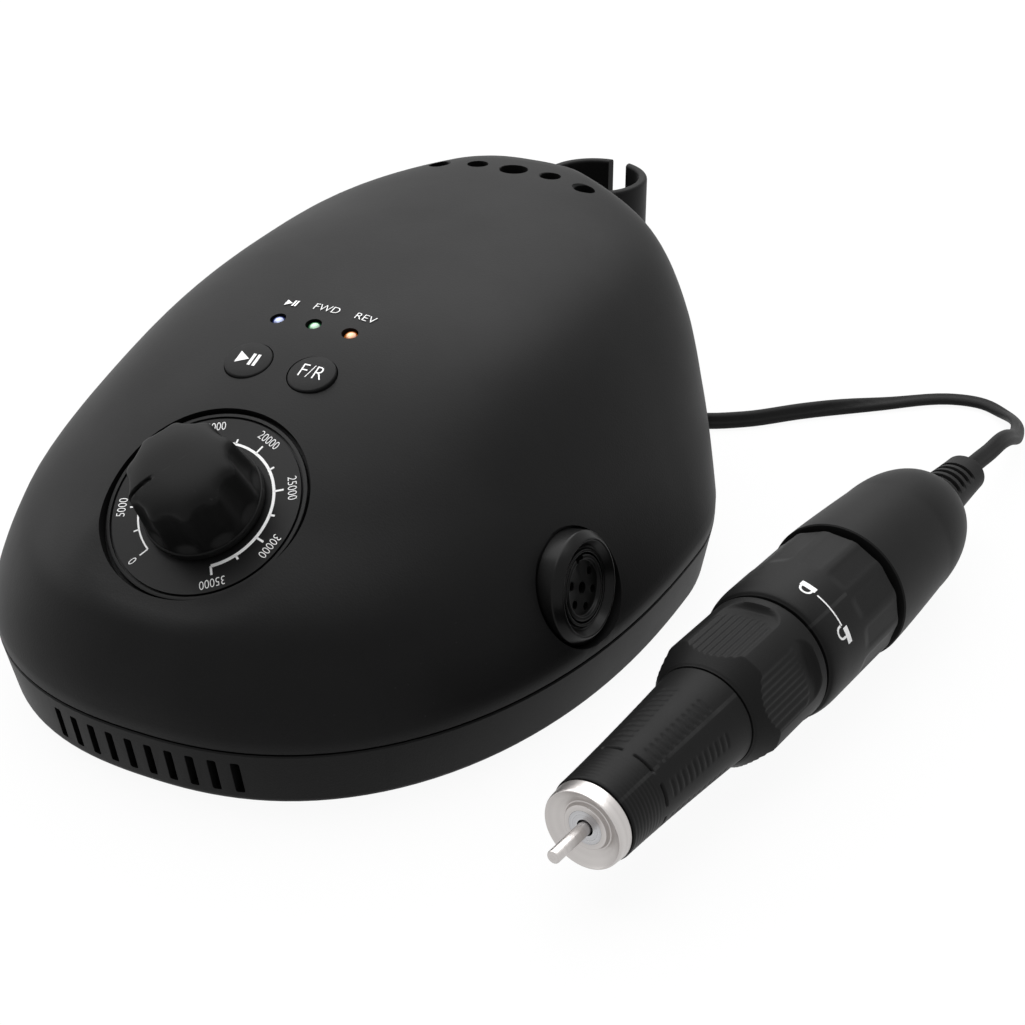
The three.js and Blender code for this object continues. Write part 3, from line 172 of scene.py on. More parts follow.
# Bit holes
BIT_HOLE_DEPTH = 15
BIT_HOLE_RADIUS = 2.25
BIT_HOLE_MIDDLE_RADIUS = 3.05
BIT_HOLE_SPREAD = 8.7
BIT_HOLE_Y = 96.6
BIT_HOLE_OUTER_Y = 95

# Socket on the right side
SOCKET_Y = 5.2
SOCKET_HEIGHT = 25.6
SOCKET_RADIUS = 11.1
SOCKET_PROUD = 1.7
SOCKET_BEVEL = 1.4
SOCKET_RIM_RADIUS = 10.4
SOCKET_BARREL_RADIUS = 8.4
SOCKET_BARREL = 9
SOCKET_SEAT = 3.4
SOCKET_LEAN = 0.45
INSERT_RADIUS = 6.1
INSERT_TOP = 0.8
INSERT_LENGTH = 10
CONTACT_HOLE_RADIUS = 0.8
CONTACT_HOLE_DEPTH = 5
CONTACT_CIRCLE = 3.7
CONTACT_COUNT = 5
CONTACT_ARC = math.radians(240)

# Supply jack and power rocker on the rear
REAR_PANEL_HEIGHT = 30
REAR_SEAT = 1.2
JACK_X = -20
JACK_RADIUS = 5.6
JACK_BORE = 3.2
JACK_PIN_RADIUS = 1.05
JACK_DEPTH = 9
JACK_FLANGE = 1.4
ROCKER_X = 20
ROCKER_WIDTH = 12
ROCKER_HEIGHT = 18
ROCKER_FRAME = 1.5
ROCKER_FRAME_DEPTH = 11
ROCKER_PIVOT = 3
ROCKER_TILT = math.radians(9.5)
ROCKER_CORNER = math.radians(31)

# Handpiece rest
REST_Y = 141
REST_TOP = 48.5
REST_HEIGHT = 22
REST_INNER = 10.3
REST_WALL = 2.1
REST_SLOT = 4.8
REST_SLOT_TURN = math.radians(-9)
REST_NECK_WIDTH = 11
REST_NECK_HEIGHT = 15

# Handpiece, with lengths counted from the nose rim
GRIP_TURN = math.radians(9.9)
NOSE_X = 79.5
NOSE_Y = -43.9
NOSE_RADIUS = 7.3
NOSE_RIM_END = 3
NOSE_LENGTH = 9
GRIP_START = 3.3
GRIP_END = 37
GRIP_FRONT_RADIUS = 7.75
GRIP_REAR_RADIUS = 9.5
GRIP_BORE = 6.3
GRIP_SIDES = 216
GRIP_COLUMNS = 8
GRIP_COLUMN_ANGLE = math.radians(71)
GRIP_RIBS = 11
GRIP_RIB_START = 14
GRIP_RIB_PITCH = 1.55
COLLAR_START = 37.3
COLLAR_END = 58.7
COLLAR_RADIUS = 12.5
COLLAR_CONE = 5
COLLAR_SLOPE = 0.6
COLLAR_SIDES = 600
COLLAR_PANELS = 5
COLLAR_PANEL_ANGLE = math.radians(84)
COLLAR_FLAT = 11.1
COLLAR_RIDGES = 9
RING_START = 59.1
RING_END = 84.9
RING_RADIUS = 13.5
RING_BORE = 10.3
RING_SIDES = 336
RING_FLATS = 14
RING_FLAT_START = 70.5
RING_FLAT_DEPTH = 0.27
RING_MARK = 65.2
HOUSING_START = 86.1
HOUSING_END = 126.2
HOUSING_FRONT = 14
HOUSING_REAR = 12.86
HOUSING_TAPER = 22.1
HOUSING_DOME_END = 4.9
HANDPIECE_LIFT = 14.4
SLEEVE_START = 59
MOTOR_RADIUS = 11
MOTOR_START = 88.1
MOTOR_END = 112
SLEEVE_RADIUS = 10
SLEEVE_BORE = 8.4
RELIEF_START = 126.5
RELIEF_LENGTH = 17.5
RELIEF_FRONT_RADIUS = 5.3
RELIEF_REAR_RADIUS = 4.4
RELIEF_PITCH = 2.45
RELIEF_RIBS = 5

# Cord: the points of the part's source, in metres
CORD_DIAMETER = 0.0038
CORD_POINTS = (
    (0.1069, 0.114, 0.0129),
    (0.1076, 0.124, 0.0086),
    (0.1073, 0.134, 0.0046),
    (0.1054, 0.144, 0.0024),
    (0.1014, 0.1524, 0.0019),
    (0.095, 0.157, 0.0019),
    (0.0865, 0.156, 0.0019),
    (0.073, 0.1465, 0.0019),
    (0.0575, 0.1336, 0.0019),
    (0.0465, 0.1236, 0.0019),
    (0.0355, 0.1182, 0.0019),
    (0.0254, 0.1216, 0.0019),
    (0.0206, 0.1316, 0.0019),
    (0.0194, 0.143, 0.0019),
    (0.0142, 0.1534, 0.0019),
    (0.003, 0.1592, 0.0019),
    (-0.012, 0.1594, 0.0019),
    (-0.028, 0.1576, 0.0019),
)
CORD_HEIGHT = 2.3
CORD_LIFT = 2.3
CORD_LIFT_FROM = 98
CORD_LIFT_UP = (108, 124)
CORD_LIFT_DOWN = (142, 156)
CORD_ROLLS = ((0, 45), (45, 45), (70, 0), (82, 0), (112, -65), (140, -65), (180, 0))
COIL_CENTRE = (-46, 130)
COIL_MEAN_RADIUS = 20.6
COIL_PITCH = 4.3
COIL_RISE = 4.3
COIL_LOOPS_PER_LAYER = 3
COIL_STEPS = 48
COIL_CLIMB = 0.5
COIL_RUN_OUT = 12.5
PLUG_BOOT = 9
PLUG_BODY = 14
PLUG_RADIUS = 6
PLUG_SHELL = 9.5

# Camera and light
CAMERA_PLACE = (174, -264.8, 210.8)
CAMERA_AZIMUTH = math.radians(25.75)
CAMERA_ELEVATION = math.radians(30.02)
CAMERA_SENSOR = 36
CAMERA_LENS = 68.49

# The maker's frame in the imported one, from the front left foot
foot_low, foot_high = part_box("foot_1")
foot_middle = (foot_low + foot_high) / 2
maker_origin = Vector((foot_middle.x + FOOT_X * MM, foot_middle.y - FOOT_FRONT_Y * MM, 0))
TO_FRAME = Matrix.Translation(maker_origin) @ Matrix.Scale(MM, 4)


# Placing and finishing

def placement(origin, normal, upward):
    """Matrix with z along a normal and y as near to a direction as it can be."""
    z = normal.normalized()
    x = upward.cross(z).normalized()
    y = z.cross(x)
    turn = Matrix((x, y, z)).transposed().to_4x4()
    return Matrix.Translation(origin) @ turn


def linked(name, mesh):
    piece = bpy.data.objects.new(name, mesh)
    bpy.context.scene.collection.objects.link(piece)
    return piece


def finished(name, bm, material, body, replaces=(), place=None, crease=35, closed=True):
    """Turns a bmesh in millimetres into a piece that rides on a body."""
    if place is not None:
        bm.transform(place)
    bmesh.ops.remove_doubles(bm, verts=bm.verts, dist=WELD)
    if closed:
        bmesh.ops.recalc_face_normals(bm, faces=bm.faces)
    bm.transform(TO_FRAME)
    mesh = bpy.data.meshes.new(name)
    bm.to_mesh(mesh)
    bm.free()
    mesh.shade_smooth()
    mesh.set_sharp_from_angle(angle=math.radians(crease))
    mesh.materials.append(material)
    piece = linked(name, mesh)
    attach(piece, body)
    if replaces:
        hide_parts(*replaces)
    return piece


def together(*shapes):
    """One bmesh out of several, which are used up."""
    first = shapes[0]
    for shape in shapes[1:]:
        mesh = bpy.data.meshes.new("loose")
        shape.to_mesh(mesh)
        shape.free()
        first.from_mesh(mesh)
        bpy.data.meshes.remove(mesh)
    return first


def combined(base, operation, *tools):
    """Boolean of a bmesh with others, which are used up."""
    meshes = []
    things = []
    for shape in (base, *tools):
        bmesh.ops.recalc_face_normals(shape, faces=shape.faces)
        mesh = bpy.data.meshes.new("loose")
        shape.to_mesh(mesh)
        shape.free()
        meshes.append(mesh)
        things.append(linked("loose", mesh))
    for tool in things[1:]:
        step = things[0].modifiers.new("step", "BOOLEAN")
        step.operation = operation
        step.solver = "EXACT"
        step.object = tool
    graph = bpy.context.evaluated_depsgraph_get()
    result = bpy.data.meshes.new_from_object(things[0].evaluated_get(graph))
    bm = bmesh.new()
    bm.from_mesh(result)
    for thing in things:
        bpy.data.objects.remove(thing)
    for mesh in (*meshes, result):
        bpy.data.meshes.remove(mesh)
    return bm


def cut(base, *tools):
    return combined(base, "DIFFERENCE", *tools)


def turned(profile, steps=72, place=None):
    """Shape turned about z from (radius, height) corners; a third number rounds the corner."""
    bm = bmesh.new()
    verts = [bm.verts.new((corner[0], 0, corner[1])) for corner in profile]
    for first, second in zip(verts, verts[1:]):
        bm.edges.new((first, second))
    if profile[0][0] > 0 and profile[-1][0] > 0:
        bm.edges.new((verts[-1], verts[0]))
    for corner, vert in zip(profile, verts):
        if len(corner) > 2:
            bmesh.ops.bevel(
                bm,
                geom=[vert],
                offset=corner[2],
                offset_type="OFFSET",
                segments=4,
                profile=0.5,
                affect="VERTICES",
                material=-1,
            )
    geometry = bm.verts[:] + bm.edges[:]
    bmesh.ops.spin(
        bm, geom=geometry, cent=(0, 0, 0), axis=(0, 0, 1), angle=FULL_TURN, steps=steps, use_merge=True
    )
    bmesh.ops.remove_doubles(bm, verts=bm.verts, dist=WELD)
    bmesh.ops.recalc_face_normals(bm, faces=bm.faces)
    if place is not None:
        bm.transform(place)
    return bm


def disc(radius, bottom, top, steps=48, place=None):
    return turned([(0, bottom), (radius, bottom), (radius, top), (0, top)], steps, place)


def block(width, depth, bottom, top, rounding=0, upright_only=False, place=None):
    """Box on z between two heights, with its edges rounded."""
    bm = bmesh.new()
    bmesh.ops.create_cube(bm, size=1)
    bmesh.ops.scale(bm, vec=(width, depth, top - bottom), verts=bm.verts)
    bmesh.ops.translate(bm, vec=(0, 0, (top + bottom) / 2), verts=bm.verts)
    if rounding:
        edges = bm.edges[:]
        if upright_only:
            edges = [edge for edge in edges if abs(edge.verts[0].co.z - edge.verts[1].co.z) > WELD]
        bmesh.ops.bevel(
            bm, geom=edges, offset=rounding, segments=4, profile=0.5, affect="EDGES", material=-1
        )
    if place is not None:
        bm.transform(place)
    return bm


def at(x, y, z=0):
    return Matrix.Translation((x, y, z))


def reshaped(bm, rule):
    """Moves each vertex of a turned shape: rule(radius, angle, height) gives its new radius and height."""
    for vert in bm.verts:
        radius = math.hypot(vert.co.x, vert.co.y)
        if radius < WELD:
            continue
        angle = math.atan2(vert.co.y, vert.co.x)
        new_radius, new_height = rule(radius, angle, vert.co.z)
        vert.co.x *= new_radius / radius
        vert.co.y *= new_radius / radius
        vert.co.z = new_height
    return bm


def ramp(value, start, end):
    """Smooth step from 0 at start to 1 at end."""
    share = min(max((value - start) / (end - start), 0), 1)
    return share * share * (3 - 2 * share)


def nearest_turn(angle, count, first):
    """Angle from the nearest of a number of equal directions."""
    pitch = FULL_TURN / count
    return (angle - first + pitch / 2) % pitch - pitch / 2


def evenly(start, end, count):
    return [start + (end - start) * i / count for i in range(count + 1)]


# Case form: horizontal sections whose reaches follow the share tables

def eased(shares, place):
    """Shape-preserving curve through equally spaced shares."""
    spans = len(shares) - 1
    place = min(max(place, 0), 1) * spans
    i = min(int(place), spans - 1)
    u = place - i

    def rise(k):
        return shares[k + 1] - shares[k]

    def end_slope(near, following):
        slope = (3 * near - following) / 2
        if slope * near <= 0:
            return 0
        if near * following < 0 and abs(slope) > 3 * abs(near):
            return 3 * near
        return slope

    def slope(k):
        if spans == 1:
            return rise(0)
        if k == 0:
            return end_slope(rise(0), rise(1))
        if k == spans:
            return end_slope(rise(spans - 1), rise(spans - 2))
        before, after = rise(k - 1), rise(k)
        return 2 * before * after / (before + after) if before * after > 0 else 0

    bend = u * u * (3 - 2 * u)
    return shares[i] + rise(i) * bend + slope(i) * u * (1 - u) ** 2 - slope(i + 1) * u * u * (1 - u)


def section(turn, inset=0.0):
    share = turn / QUARTER_TURN
    front = -FRONT_REACH * eased(FRONT_SHARES, share)
    rear = REAR_REACH * eased(REAR_SHARES, share)
    widest = front + (rear - front) * eased(WIDEST_SHARES, share)

    def shrink(size):
        return max(size - inset, size * THINNEST_SHARE)

    return {
        "z": SHOULDER_HEIGHT + (CASE_TOP - inset - SHOULDER_HEIGHT) * math.sin(turn),
        "widest": widest,
        "ahead": shrink(widest - front),
        "behind": shrink(rear - widest),
        "half": shrink(HALF_WIDTH * eased(WIDTH_SHARES, share) + WELD),
        "front_power": eased(FRONT_POWERS, share),
        "rear_power": eased(REAR_POWERS, share),
    }


def half_of(level, y):
    """Length and power of the half of a section that a y lies in."""
    if y < level["widest"]:
        return level["ahead"], level["front_power"]
    return level["behind"], level["rear_power"]


def reach(level, x, y):
    length, power = half_of(level, y)
    return abs(x / level["half"]) ** power + abs((y - level["widest"]) / length) ** power


def top_height(x, y):
    low, high = 0.0, QUARTER_TURN
    for _ in range(BISECTIONS):
        middle = (low + high) / 2
        if reach(section(middle), x, y) < 1:
            low = middle
        else:
            high = middle
    return section(low)["z"]


def level_at(z):
    return section(math.asin(max(0, z - SHOULDER_HEIGHT) / (CASE_TOP - SHOULDER_HEIGHT)))


def side_x(y, z):
    level = level_at(z)
    length, power = half_of(level, y)
    return level["half"] * (1 - abs((y - level["widest"]) / length) ** power) ** (1 / power)


def rear_y(x, z):
    level = level_at(z)
    power = level["rear_power"]
    return level["widest"] + level["behind"] * (1 - abs(x / level["half"]) ** power) ** (1 / power)


def outline_ring(bm, level, height, sides):
    """One horizontal ring of the case: a circle drawn out to the section's outline."""
    ring = bmesh.ops.create_circle(bm, cap_ends=False, segments=sides, radius=1)["verts"]
    for vert in ring:
        angle = math.atan2(vert.co.x, -vert.co.y)
        across, along = math.sin(angle), -math.cos(angle)
        length = level["ahead"] if along < 0 else level["behind"]
        power = level["front_power"] if along < 0 else level["rear_power"]
        size = (abs(across) ** power + abs(along) ** power) ** (-1 / power)
        vert.co = (level["half"] * size * across, level["widest"] + length * size * along, height)
    return list({edge for vert in ring for edge in vert.link_edges})


def lofted(stations, sides):
    """Closed shape through rings given as (section, height)."""
    bm = bmesh.new()
    rings = [outline_ring(bm, level, height, sides) for level, height in stations]
    for lower, upper in zip(rings, rings[1:]):
        bmesh.ops.bridge_loops(bm, edges=lower + upper)
    bmesh.ops.contextual_create(bm, geom=rings[0])
    bmesh.ops.contextual_create(bm, geom=rings[-1])
    bmesh.ops.recalc_face_normals(bm, faces=bm.faces)
    return bm


def dome(inset, sides, levels, lower_stations):
    stations = list(lower_stations)
    for turn in evenly(0, LAST_TURN, levels):
        level = section(turn, inset)
        stations.append((level, level["z"]))
    return lofted(stations, sides)


def top_point(x, y):
    return Vector((x, y, top_height(x, y)))


def top_normal(x, y):
    slope_x = (top_height(x + WALL, y) - top_height(x - WALL, y)) / (2 * WALL)
    slope_y = (top_height(x, y + WALL) - top_height(x, y - WALL)) / (2 * WALL)
    return Vector((-slope_x, -slope_y, 1)).normalized()


def socket_placement():
    slope_y = (side_x(SOCKET_Y + WALL, SOCKET_HEIGHT) - side_x(SOCKET_Y - WALL, SOCKET_HEIGHT)) / (2 * WALL)
    slope_z = (side_x(SOCKET_Y, SOCKET_HEIGHT + WALL) - side_x(SOCKET_Y, SOCKET_HEIGHT - WALL)) / (2 * WALL)
    origin = Vector((side_x(SOCKET_Y, SOCKET_HEIGHT), SOCKET_Y, SOCKET_HEIGHT))
    return placement(origin, Vector((1, -slope_y * SOCKET_LEAN, -slope_z * SOCKET_LEAN)), UP)


def rear_placement(x):
    return placement(Vector((x, rear_y(x, REAR_PANEL_HEIGHT), REAR_PANEL_HEIGHT)), BACK, UP)


dial_place = placement(top_point(0, DIAL_Y), Vector((0, -math.sin(DIAL_TILT), math.cos(DIAL_TILT))), BACK)
keys_place = placement(top_point(0, BUTTON_Y), top_normal(0, BUTTON_Y), BACK)
keys_inverse = keys_place.inverted()
socket_place = socket_placement()
jack_place = rear_placement(JACK_X)
rocker_place = rear_placement(ROCKER_X)
handpiece_place = placement(
    Vector((NOSE_X, NOSE_Y, HANDPIECE_LIFT)), Vector((math.sin(GRIP_TURN), math.cos(GRIP_TURN), 0)), UP
)
button_places = [keys_inverse @ top_point(side * BUTTON_X, BUTTON_Y) for side in (-1, 1)]
lamp_places = [keys_inverse @ top_point(side * LAMP_X, LAMP_Y) for side in (-1, 0, 1)]
foot_places = [(side * FOOT_X, y) for side in (-1, 1) for y in (FOOT_FRONT_Y, FOOT_REAR_Y)]
screw_places = [(side * SCREW_X, y) for side in (-1, 1) for y in (SCREW_FRONT_Y, SCREW_REAR_Y)]
bit_holes = [
    (
        step * BIT_HOLE_SPREAD,
        BIT_HOLE_OUTER_Y if abs(step) == 2 else BIT_HOLE_Y,
        BIT_HOLE_RADIUS if step else BIT_HOLE_MIDDLE_RADIUS,
    )
    for step in (-2, -1, 0, 1, 2)
]


# Finishes

def node(tree, kind, inputs=None, **settings):
    """Shader node with its settings, and its inputs set or joined by name."""
    made = tree.nodes.new(kind)
    for key, value in settings.items():
        setattr(made, key, value)
    for key, value in (inputs or {}).items():
        if isinstance(value, bpy.types.NodeSocket):
            tree.links.new(value, made.inputs[key])
        else:
            made.inputs[key].default_value = value
    return made


def new_group(name, inputs, outputs):
    """Empty node group with named inputs, each with its value, and named outputs."""
    tree = bpy.data.node_groups.new(name, "ShaderNodeTree")
    for key, (kind, value) in inputs.items():
        socket = tree.interface.new_socket(key, in_out="INPUT", socket_type=kind)
        if value is not None:
            socket.default_value = value
    for key, kind in outputs.items():
        tree.interface.new_socket(key, in_out="OUTPUT", socket_type=kind)
    return tree, tree.nodes.new("NodeGroupInput"), tree.nodes.new("NodeGroupOutput")


VECTOR = "NodeSocketVector"
NUMBER = "NodeSocketFloat"
COLOUR = "NodeSocketColor"


def make_moulding_group():
    """Fine spark-eroded grain and the slow mottling of a moulded surface."""
    tree, given, result = new_group(
        "moulded_surface",
        {"Vector": (VECTOR, None), "Grain": (NUMBER, 2600.0), "Mottle": (NUMBER, 60.0)},
        {"Height": NUMBER, "Mottle": NUMBER},
    )
    coarse = node(
        tree,
        "ShaderNodeTexNoise",
        {"Vector": given.outputs["Vector"], "Scale": given.outputs["Grain"], "Detail": 2.0},
    )
    pits = node(
        tree, "ShaderNodeTexVoronoi", {"Vector": given.outputs["Vector"], "Scale": given.outputs["Grain"]}
    )
    blend = node(
        tree,
        "ShaderNodeMath",
        {0: coarse.outputs["Fac"], 1: pits.outputs["Distance"]},
        operation="MULTIPLY",
    )
    slow = node(
        tree,
        "ShaderNodeTexNoise",
        {"Vector": given.outputs["Vector"], "Scale": given.outputs["Mottle"], "Detail": 5.0},
    )
    spread = node(
        tree, "ShaderNodeMapRange", {"Value": slow.outputs["Fac"], "From Min": 0.32, "From Max": 0.68}
    )
    tree.links.new(blend.outputs["Value"], result.inputs["Height"])
    tree.links.new(spread.outputs["Result"], result.inputs["Mottle"])
    return tree


def make_handling_group():
    """Where hands have polished a surface: a value between a rougher and a smoother one."""
    tree, given, result = new_group(
        "handling_marks",
        {
            "Vector": (VECTOR, None),
            "Scale": (NUMBER, 22.0),
            "Smoother": (NUMBER, 0.4),
            "Rougher": (NUMBER, 0.6),
        },
        {"Roughness": NUMBER, "Mask": NUMBER},
    )
    patches = node(
        tree,
        "ShaderNodeTexNoise",
        {"Vector": given.outputs["Vector"], "Scale": given.outputs["Scale"], "Detail": 6.0, "Roughness": 0.6},
    )
    level = node(
        tree,
        "ShaderNodeMapRange",
        {
            "Value": patches.outputs["Fac"],
            "From Min": 0.3,
            "From Max": 0.7,
            "To Min": given.outputs["Smoother"],
            "To Max": given.outputs["Rougher"],
        },
    )
    tree.links.new(level.outputs["Result"], result.inputs["Roughness"])
    tree.links.new(patches.outputs["Fac"], result.inputs["Mask"])
    return tree


def make_dust_group():
    """Sparse fine specks as a mask."""
    tree, given, result = new_group(
        "fine_dust", {"Vector": (VECTOR, None), "Scale": (NUMBER, 420.0)}, {"Mask": NUMBER}
    )
    cells = node(
        tree, "ShaderNodeTexVoronoi", {"Vector": given.outputs["Vector"], "Scale": given.outputs["Scale"]}
    )
    specks = node(
        tree,
        "ShaderNodeMapRange",
        {"Value": cells.outputs["Distance"], "From Min": 0.02, "From Max": 0.09, "To Min": 1.0, "To Max": 0.0},
    )
    patches = node(
        tree, "ShaderNodeTexNoise", {"Vector": given.outputs["Vector"], "Scale": 35.0, "Detail": 3.0}
    )
    thin = node(
        tree, "ShaderNodeMapRange", {"Value": patches.outputs["Fac"], "From Min": 0.55, "From Max": 0.75}
    )
    both = node(
        tree,
        "ShaderNodeMath",
        {0: specks.outputs["Result"], 1: thin.outputs["Result"]},
        operation="MULTIPLY",
    )
    tree.links.new(both.outputs["Value"], result.inputs["Mask"])
    return tree


def make_edge_group():
    """Rubbed edges as a mask, from how sharply the surface turns."""
    tree, given, result = new_group(
        "rubbed_edges", {"Vector": (VECTOR, None), "Start": (NUMBER, 0.6)}, {"Mask": NUMBER}
    )
    shape = node(tree, "ShaderNodeNewGeometry")
    end = node(tree, "ShaderNodeMath", {0: given.outputs["Start"], 1: 0.1}, operation="ADD")
    edge = node(
        tree,
        "ShaderNodeMapRange",
        {
            "Value": shape.outputs["Pointiness"],
            "From Min": given.outputs["Start"],
            "From Max": end.outputs["Value"],
        },
    )
    breakup = node(
        tree, "ShaderNodeTexNoise", {"Vector": given.outputs["Vector"], "Scale": 300.0, "Detail": 4.0}
    )
    both = node(
        tree,
        "ShaderNodeMath",
        {0: edge.outputs["Result"], 1: breakup.outputs["Fac"]},
        operation="MULTIPLY",
    )
    tree.links.new(both.outputs["Value"], result.inputs["Mask"])
    return tree


def make_lathe_group():
    """Fine rings left by turning about z, as a height, and their streaks as a mask."""
    tree, given, result = new_group(
        "turning_rings", {"Vector": (VECTOR, None), "Pitch": (NUMBER, 9000.0)}, {"Height": NUMBER, "Streak": NUMBER}
    )
    parts = node(tree, "ShaderNodeSeparateXYZ", {"Vector": given.outputs["Vector"]})
    square_x = node(tree, "ShaderNodeMath", {0: parts.outputs["X"], 1: 2.0}, operation="POWER")
    square_y = node(tree, "ShaderNodeMath", {0: parts.outputs["Y"], 1: 2.0}, operation="POWER")
    total = node(
        tree, "ShaderNodeMath", {0: square_x.outputs["Value"], 1: square_y.outputs["Value"]}, operation="ADD"
    )
    radius = node(tree, "ShaderNodeMath", {0: total.outputs["Value"]}, operation="SQRT")
    flat = node(
        tree, "ShaderNodeCombineXYZ", {"X": radius.outputs["Value"], "Y": parts.outputs["Z"], "Z": 0.0}
    )
    rings = node(
        tree,
        "ShaderNodeTexNoise",
        {"Vector": flat.outputs["Vector"], "Scale": given.outputs["Pitch"], "Detail": 3.0},
    )
    broad = node(
        tree, "ShaderNodeTexNoise", {"Vector": flat.outputs["Vector"], "Scale": 1400.0, "Detail": 2.0}
    )
    tree.links.new(rings.outputs["Fac"], result.inputs["Height"])
    tree.links.new(broad.outputs["Fac"], result.inputs["Streak"])
    return tree


moulding_group = make_moulding_group()
handling_group = make_handling_group()
dust_group = make_dust_group()
edge_group = make_edge_group()
lathe_group = make_lathe_group()


def start_material(name):
    material = bpy.data.materials.new(name)
    material.use_nodes = True
    tree = material.node_tree
    tree.nodes.clear()
    shader = tree.nodes.new("ShaderNodeBsdfPrincipled")
    output = tree.nodes.new("ShaderNodeOutputMaterial")
    tree.links.new(shader.outputs["BSDF"], output.inputs["Surface"])
    place = tree.nodes.new("ShaderNodeTexCoord")
    return material, tree, shader, place.outputs["Object"]


def grouped(tree, group, vector, **values):
    made = tree.nodes.new("ShaderNodeGroup")
    made.node_tree = group
    tree.links.new(vector, made.inputs["Vector"])
    for key, value in values.items():
        made.inputs[key.capitalize()].default_value = value
    return made


def mixed(tree, mask, first, second):
    """Colour between two others by a mask; either may be a socket."""
    made = node(tree, "ShaderNodeMix", data_type="RGBA")
    for index, value in ((0, mask), (6, first), (7, second)):
        if isinstance(value, bpy.types.NodeSocket):
            tree.links.new(value, made.inputs[index])
        else:
            made.inputs[index].default_value = value
    return made.outputs[2]


def scaled(tree, value, share):
    return node(tree, "ShaderNodeMath", {0: value, 1: share}, operation="MULTIPLY").outputs["Value"]


def grey(level, tint=(1.0, 1.0, 1.0)):
    return (level * tint[0], level * tint[1], level * tint[2], 1.0)


def plastic(name, colour, lighter, smoother, rougher, grain=2600.0, bump=0.12, specular=0.3, dust=0.3):
    """Moulded plastic: grain, mottling, polished patches, rubbed edges and a little dust."""
    material, tree, shader, vector = start_material(name)
    surface = grouped(tree, moulding_group, vector, grain=grain)
    handling = grouped(tree, handling_group, vector, smoother=smoother, rougher=rougher)
    specks = grouped(tree, dust_group, vector)
    edges = grouped(tree, edge_group, vector)
    mottled = mixed(tree, scaled(tree, surface.outputs["Mottle"], 0.5), colour, lighter)
    worn = mixed(tree, scaled(tree, edges.outputs["Mask"], 0.35), mottled, grey(0.07))
    dusty = mixed(tree, scaled(tree, specks.outputs["Mask"], dust), worn, grey(0.25))
    tree.links.new(dusty, shader.inputs["Base Color"])
    tree.links.new(handling.outputs["Roughness"], shader.inputs["Roughness"])
    lift = node(
        tree,
        "ShaderNodeBump",
        {"Height": surface.outputs["Height"], "Strength": bump, "Distance": 0.0002},
    )
    tree.links.new(lift.outputs["Normal"], shader.inputs["Normal"])
    shader.inputs["Specular IOR Level"].default_value = specular
    return material


def turned_metal(name, colour, darker, smoother, rougher, place, pitch=9000.0, bump=0.12):
    """Metal turned about the z of a placement in millimetres."""
    material, tree, shader, vector = start_material(name)
    material_place = TO_FRAME @ place
    centre = material_place.to_translation()
    turn = material_place.to_quaternion().inverted()
    shift = node(tree, "ShaderNodeMapping", {"Vector": vector, "Location": -centre})
    along = node(
        tree, "ShaderNodeMapping", {"Vector": shift.outputs["Vector"], "Rotation": turn.to_euler("XYZ")}
    )
    rings = grouped(tree, lathe_group, along.outputs["Vector"], pitch=pitch)
    handling = grouped(tree, handling_group, vector, smoother=smoother, rougher=rougher, scale=60.0)
    tree.links.new(mixed(tree, rings.outputs["Streak"], darker, colour), shader.inputs["Base Color"])
    tree.links.new(handling.outputs["Roughness"], shader.inputs["Roughness"])
    lift = node(
        tree, "ShaderNodeBump", {"Height": rings.outputs["Height"], "Strength": bump, "Distance": 0.0001}
    )
    tree.links.new(lift.outputs["Normal"], shader.inputs["Normal"])
    shader.inputs["Metallic"].default_value = 1.0
    return material


def printed(name, colour):
    """Pad-printed ink with faint pinholes."""
    material, tree, shader, vector = start_material(name)
    surface = grouped(tree, moulding_group, vector, grain=5200.0)
    thin = mixed(tree, scaled(tree, surface.outputs["Height"], 0.35), colour, grey(0.45))
    tree.links.new(thin, shader.inputs["Base Color"])
    handling = grouped(tree, handling_group, vector, smoother=0.5, rougher=0.62)
    tree.links.new(handling.outputs["Roughness"], shader.inputs["Roughness"])
    return material


def lamp_finish(name, glow, rim, place):
    """Lit lens: a pale middle that falls off to its own colour at the rim."""
    material, tree, shader, vector = start_material(name)
    centre = TO_FRAME @ keys_place @ place
    shift = node(
        tree,
        "ShaderNodeMapping",
        {"Vector": vector, "Location": -centre / (LAMP_RADIUS * MM), "Scale": (1 / (LAMP_RADIUS * MM),) * 3},
    )
    fall = node(tree, "ShaderNodeTexGradient", {"Vector": shift.outputs["Vector"]}, gradient_type="SPHERICAL")
    spread = node(
        tree, "ShaderNodeMapRange", {"Value": fall.outputs["Fac"], "From Min": 0.25, "From Max": 0.95}
    )
    colour = mixed(tree, spread.outputs["Result"], rim, glow)
    tree.links.new(colour, shader.inputs["Base Color"])
    tree.links.new(colour, shader.inputs["Emission Color"])
    shader.inputs["Emission Strength"].default_value = 0.35
    shader.inputs["Roughness"].default_value = 0.12
    shader.inputs["Coat Weight"].default_value = 0.6
    return material


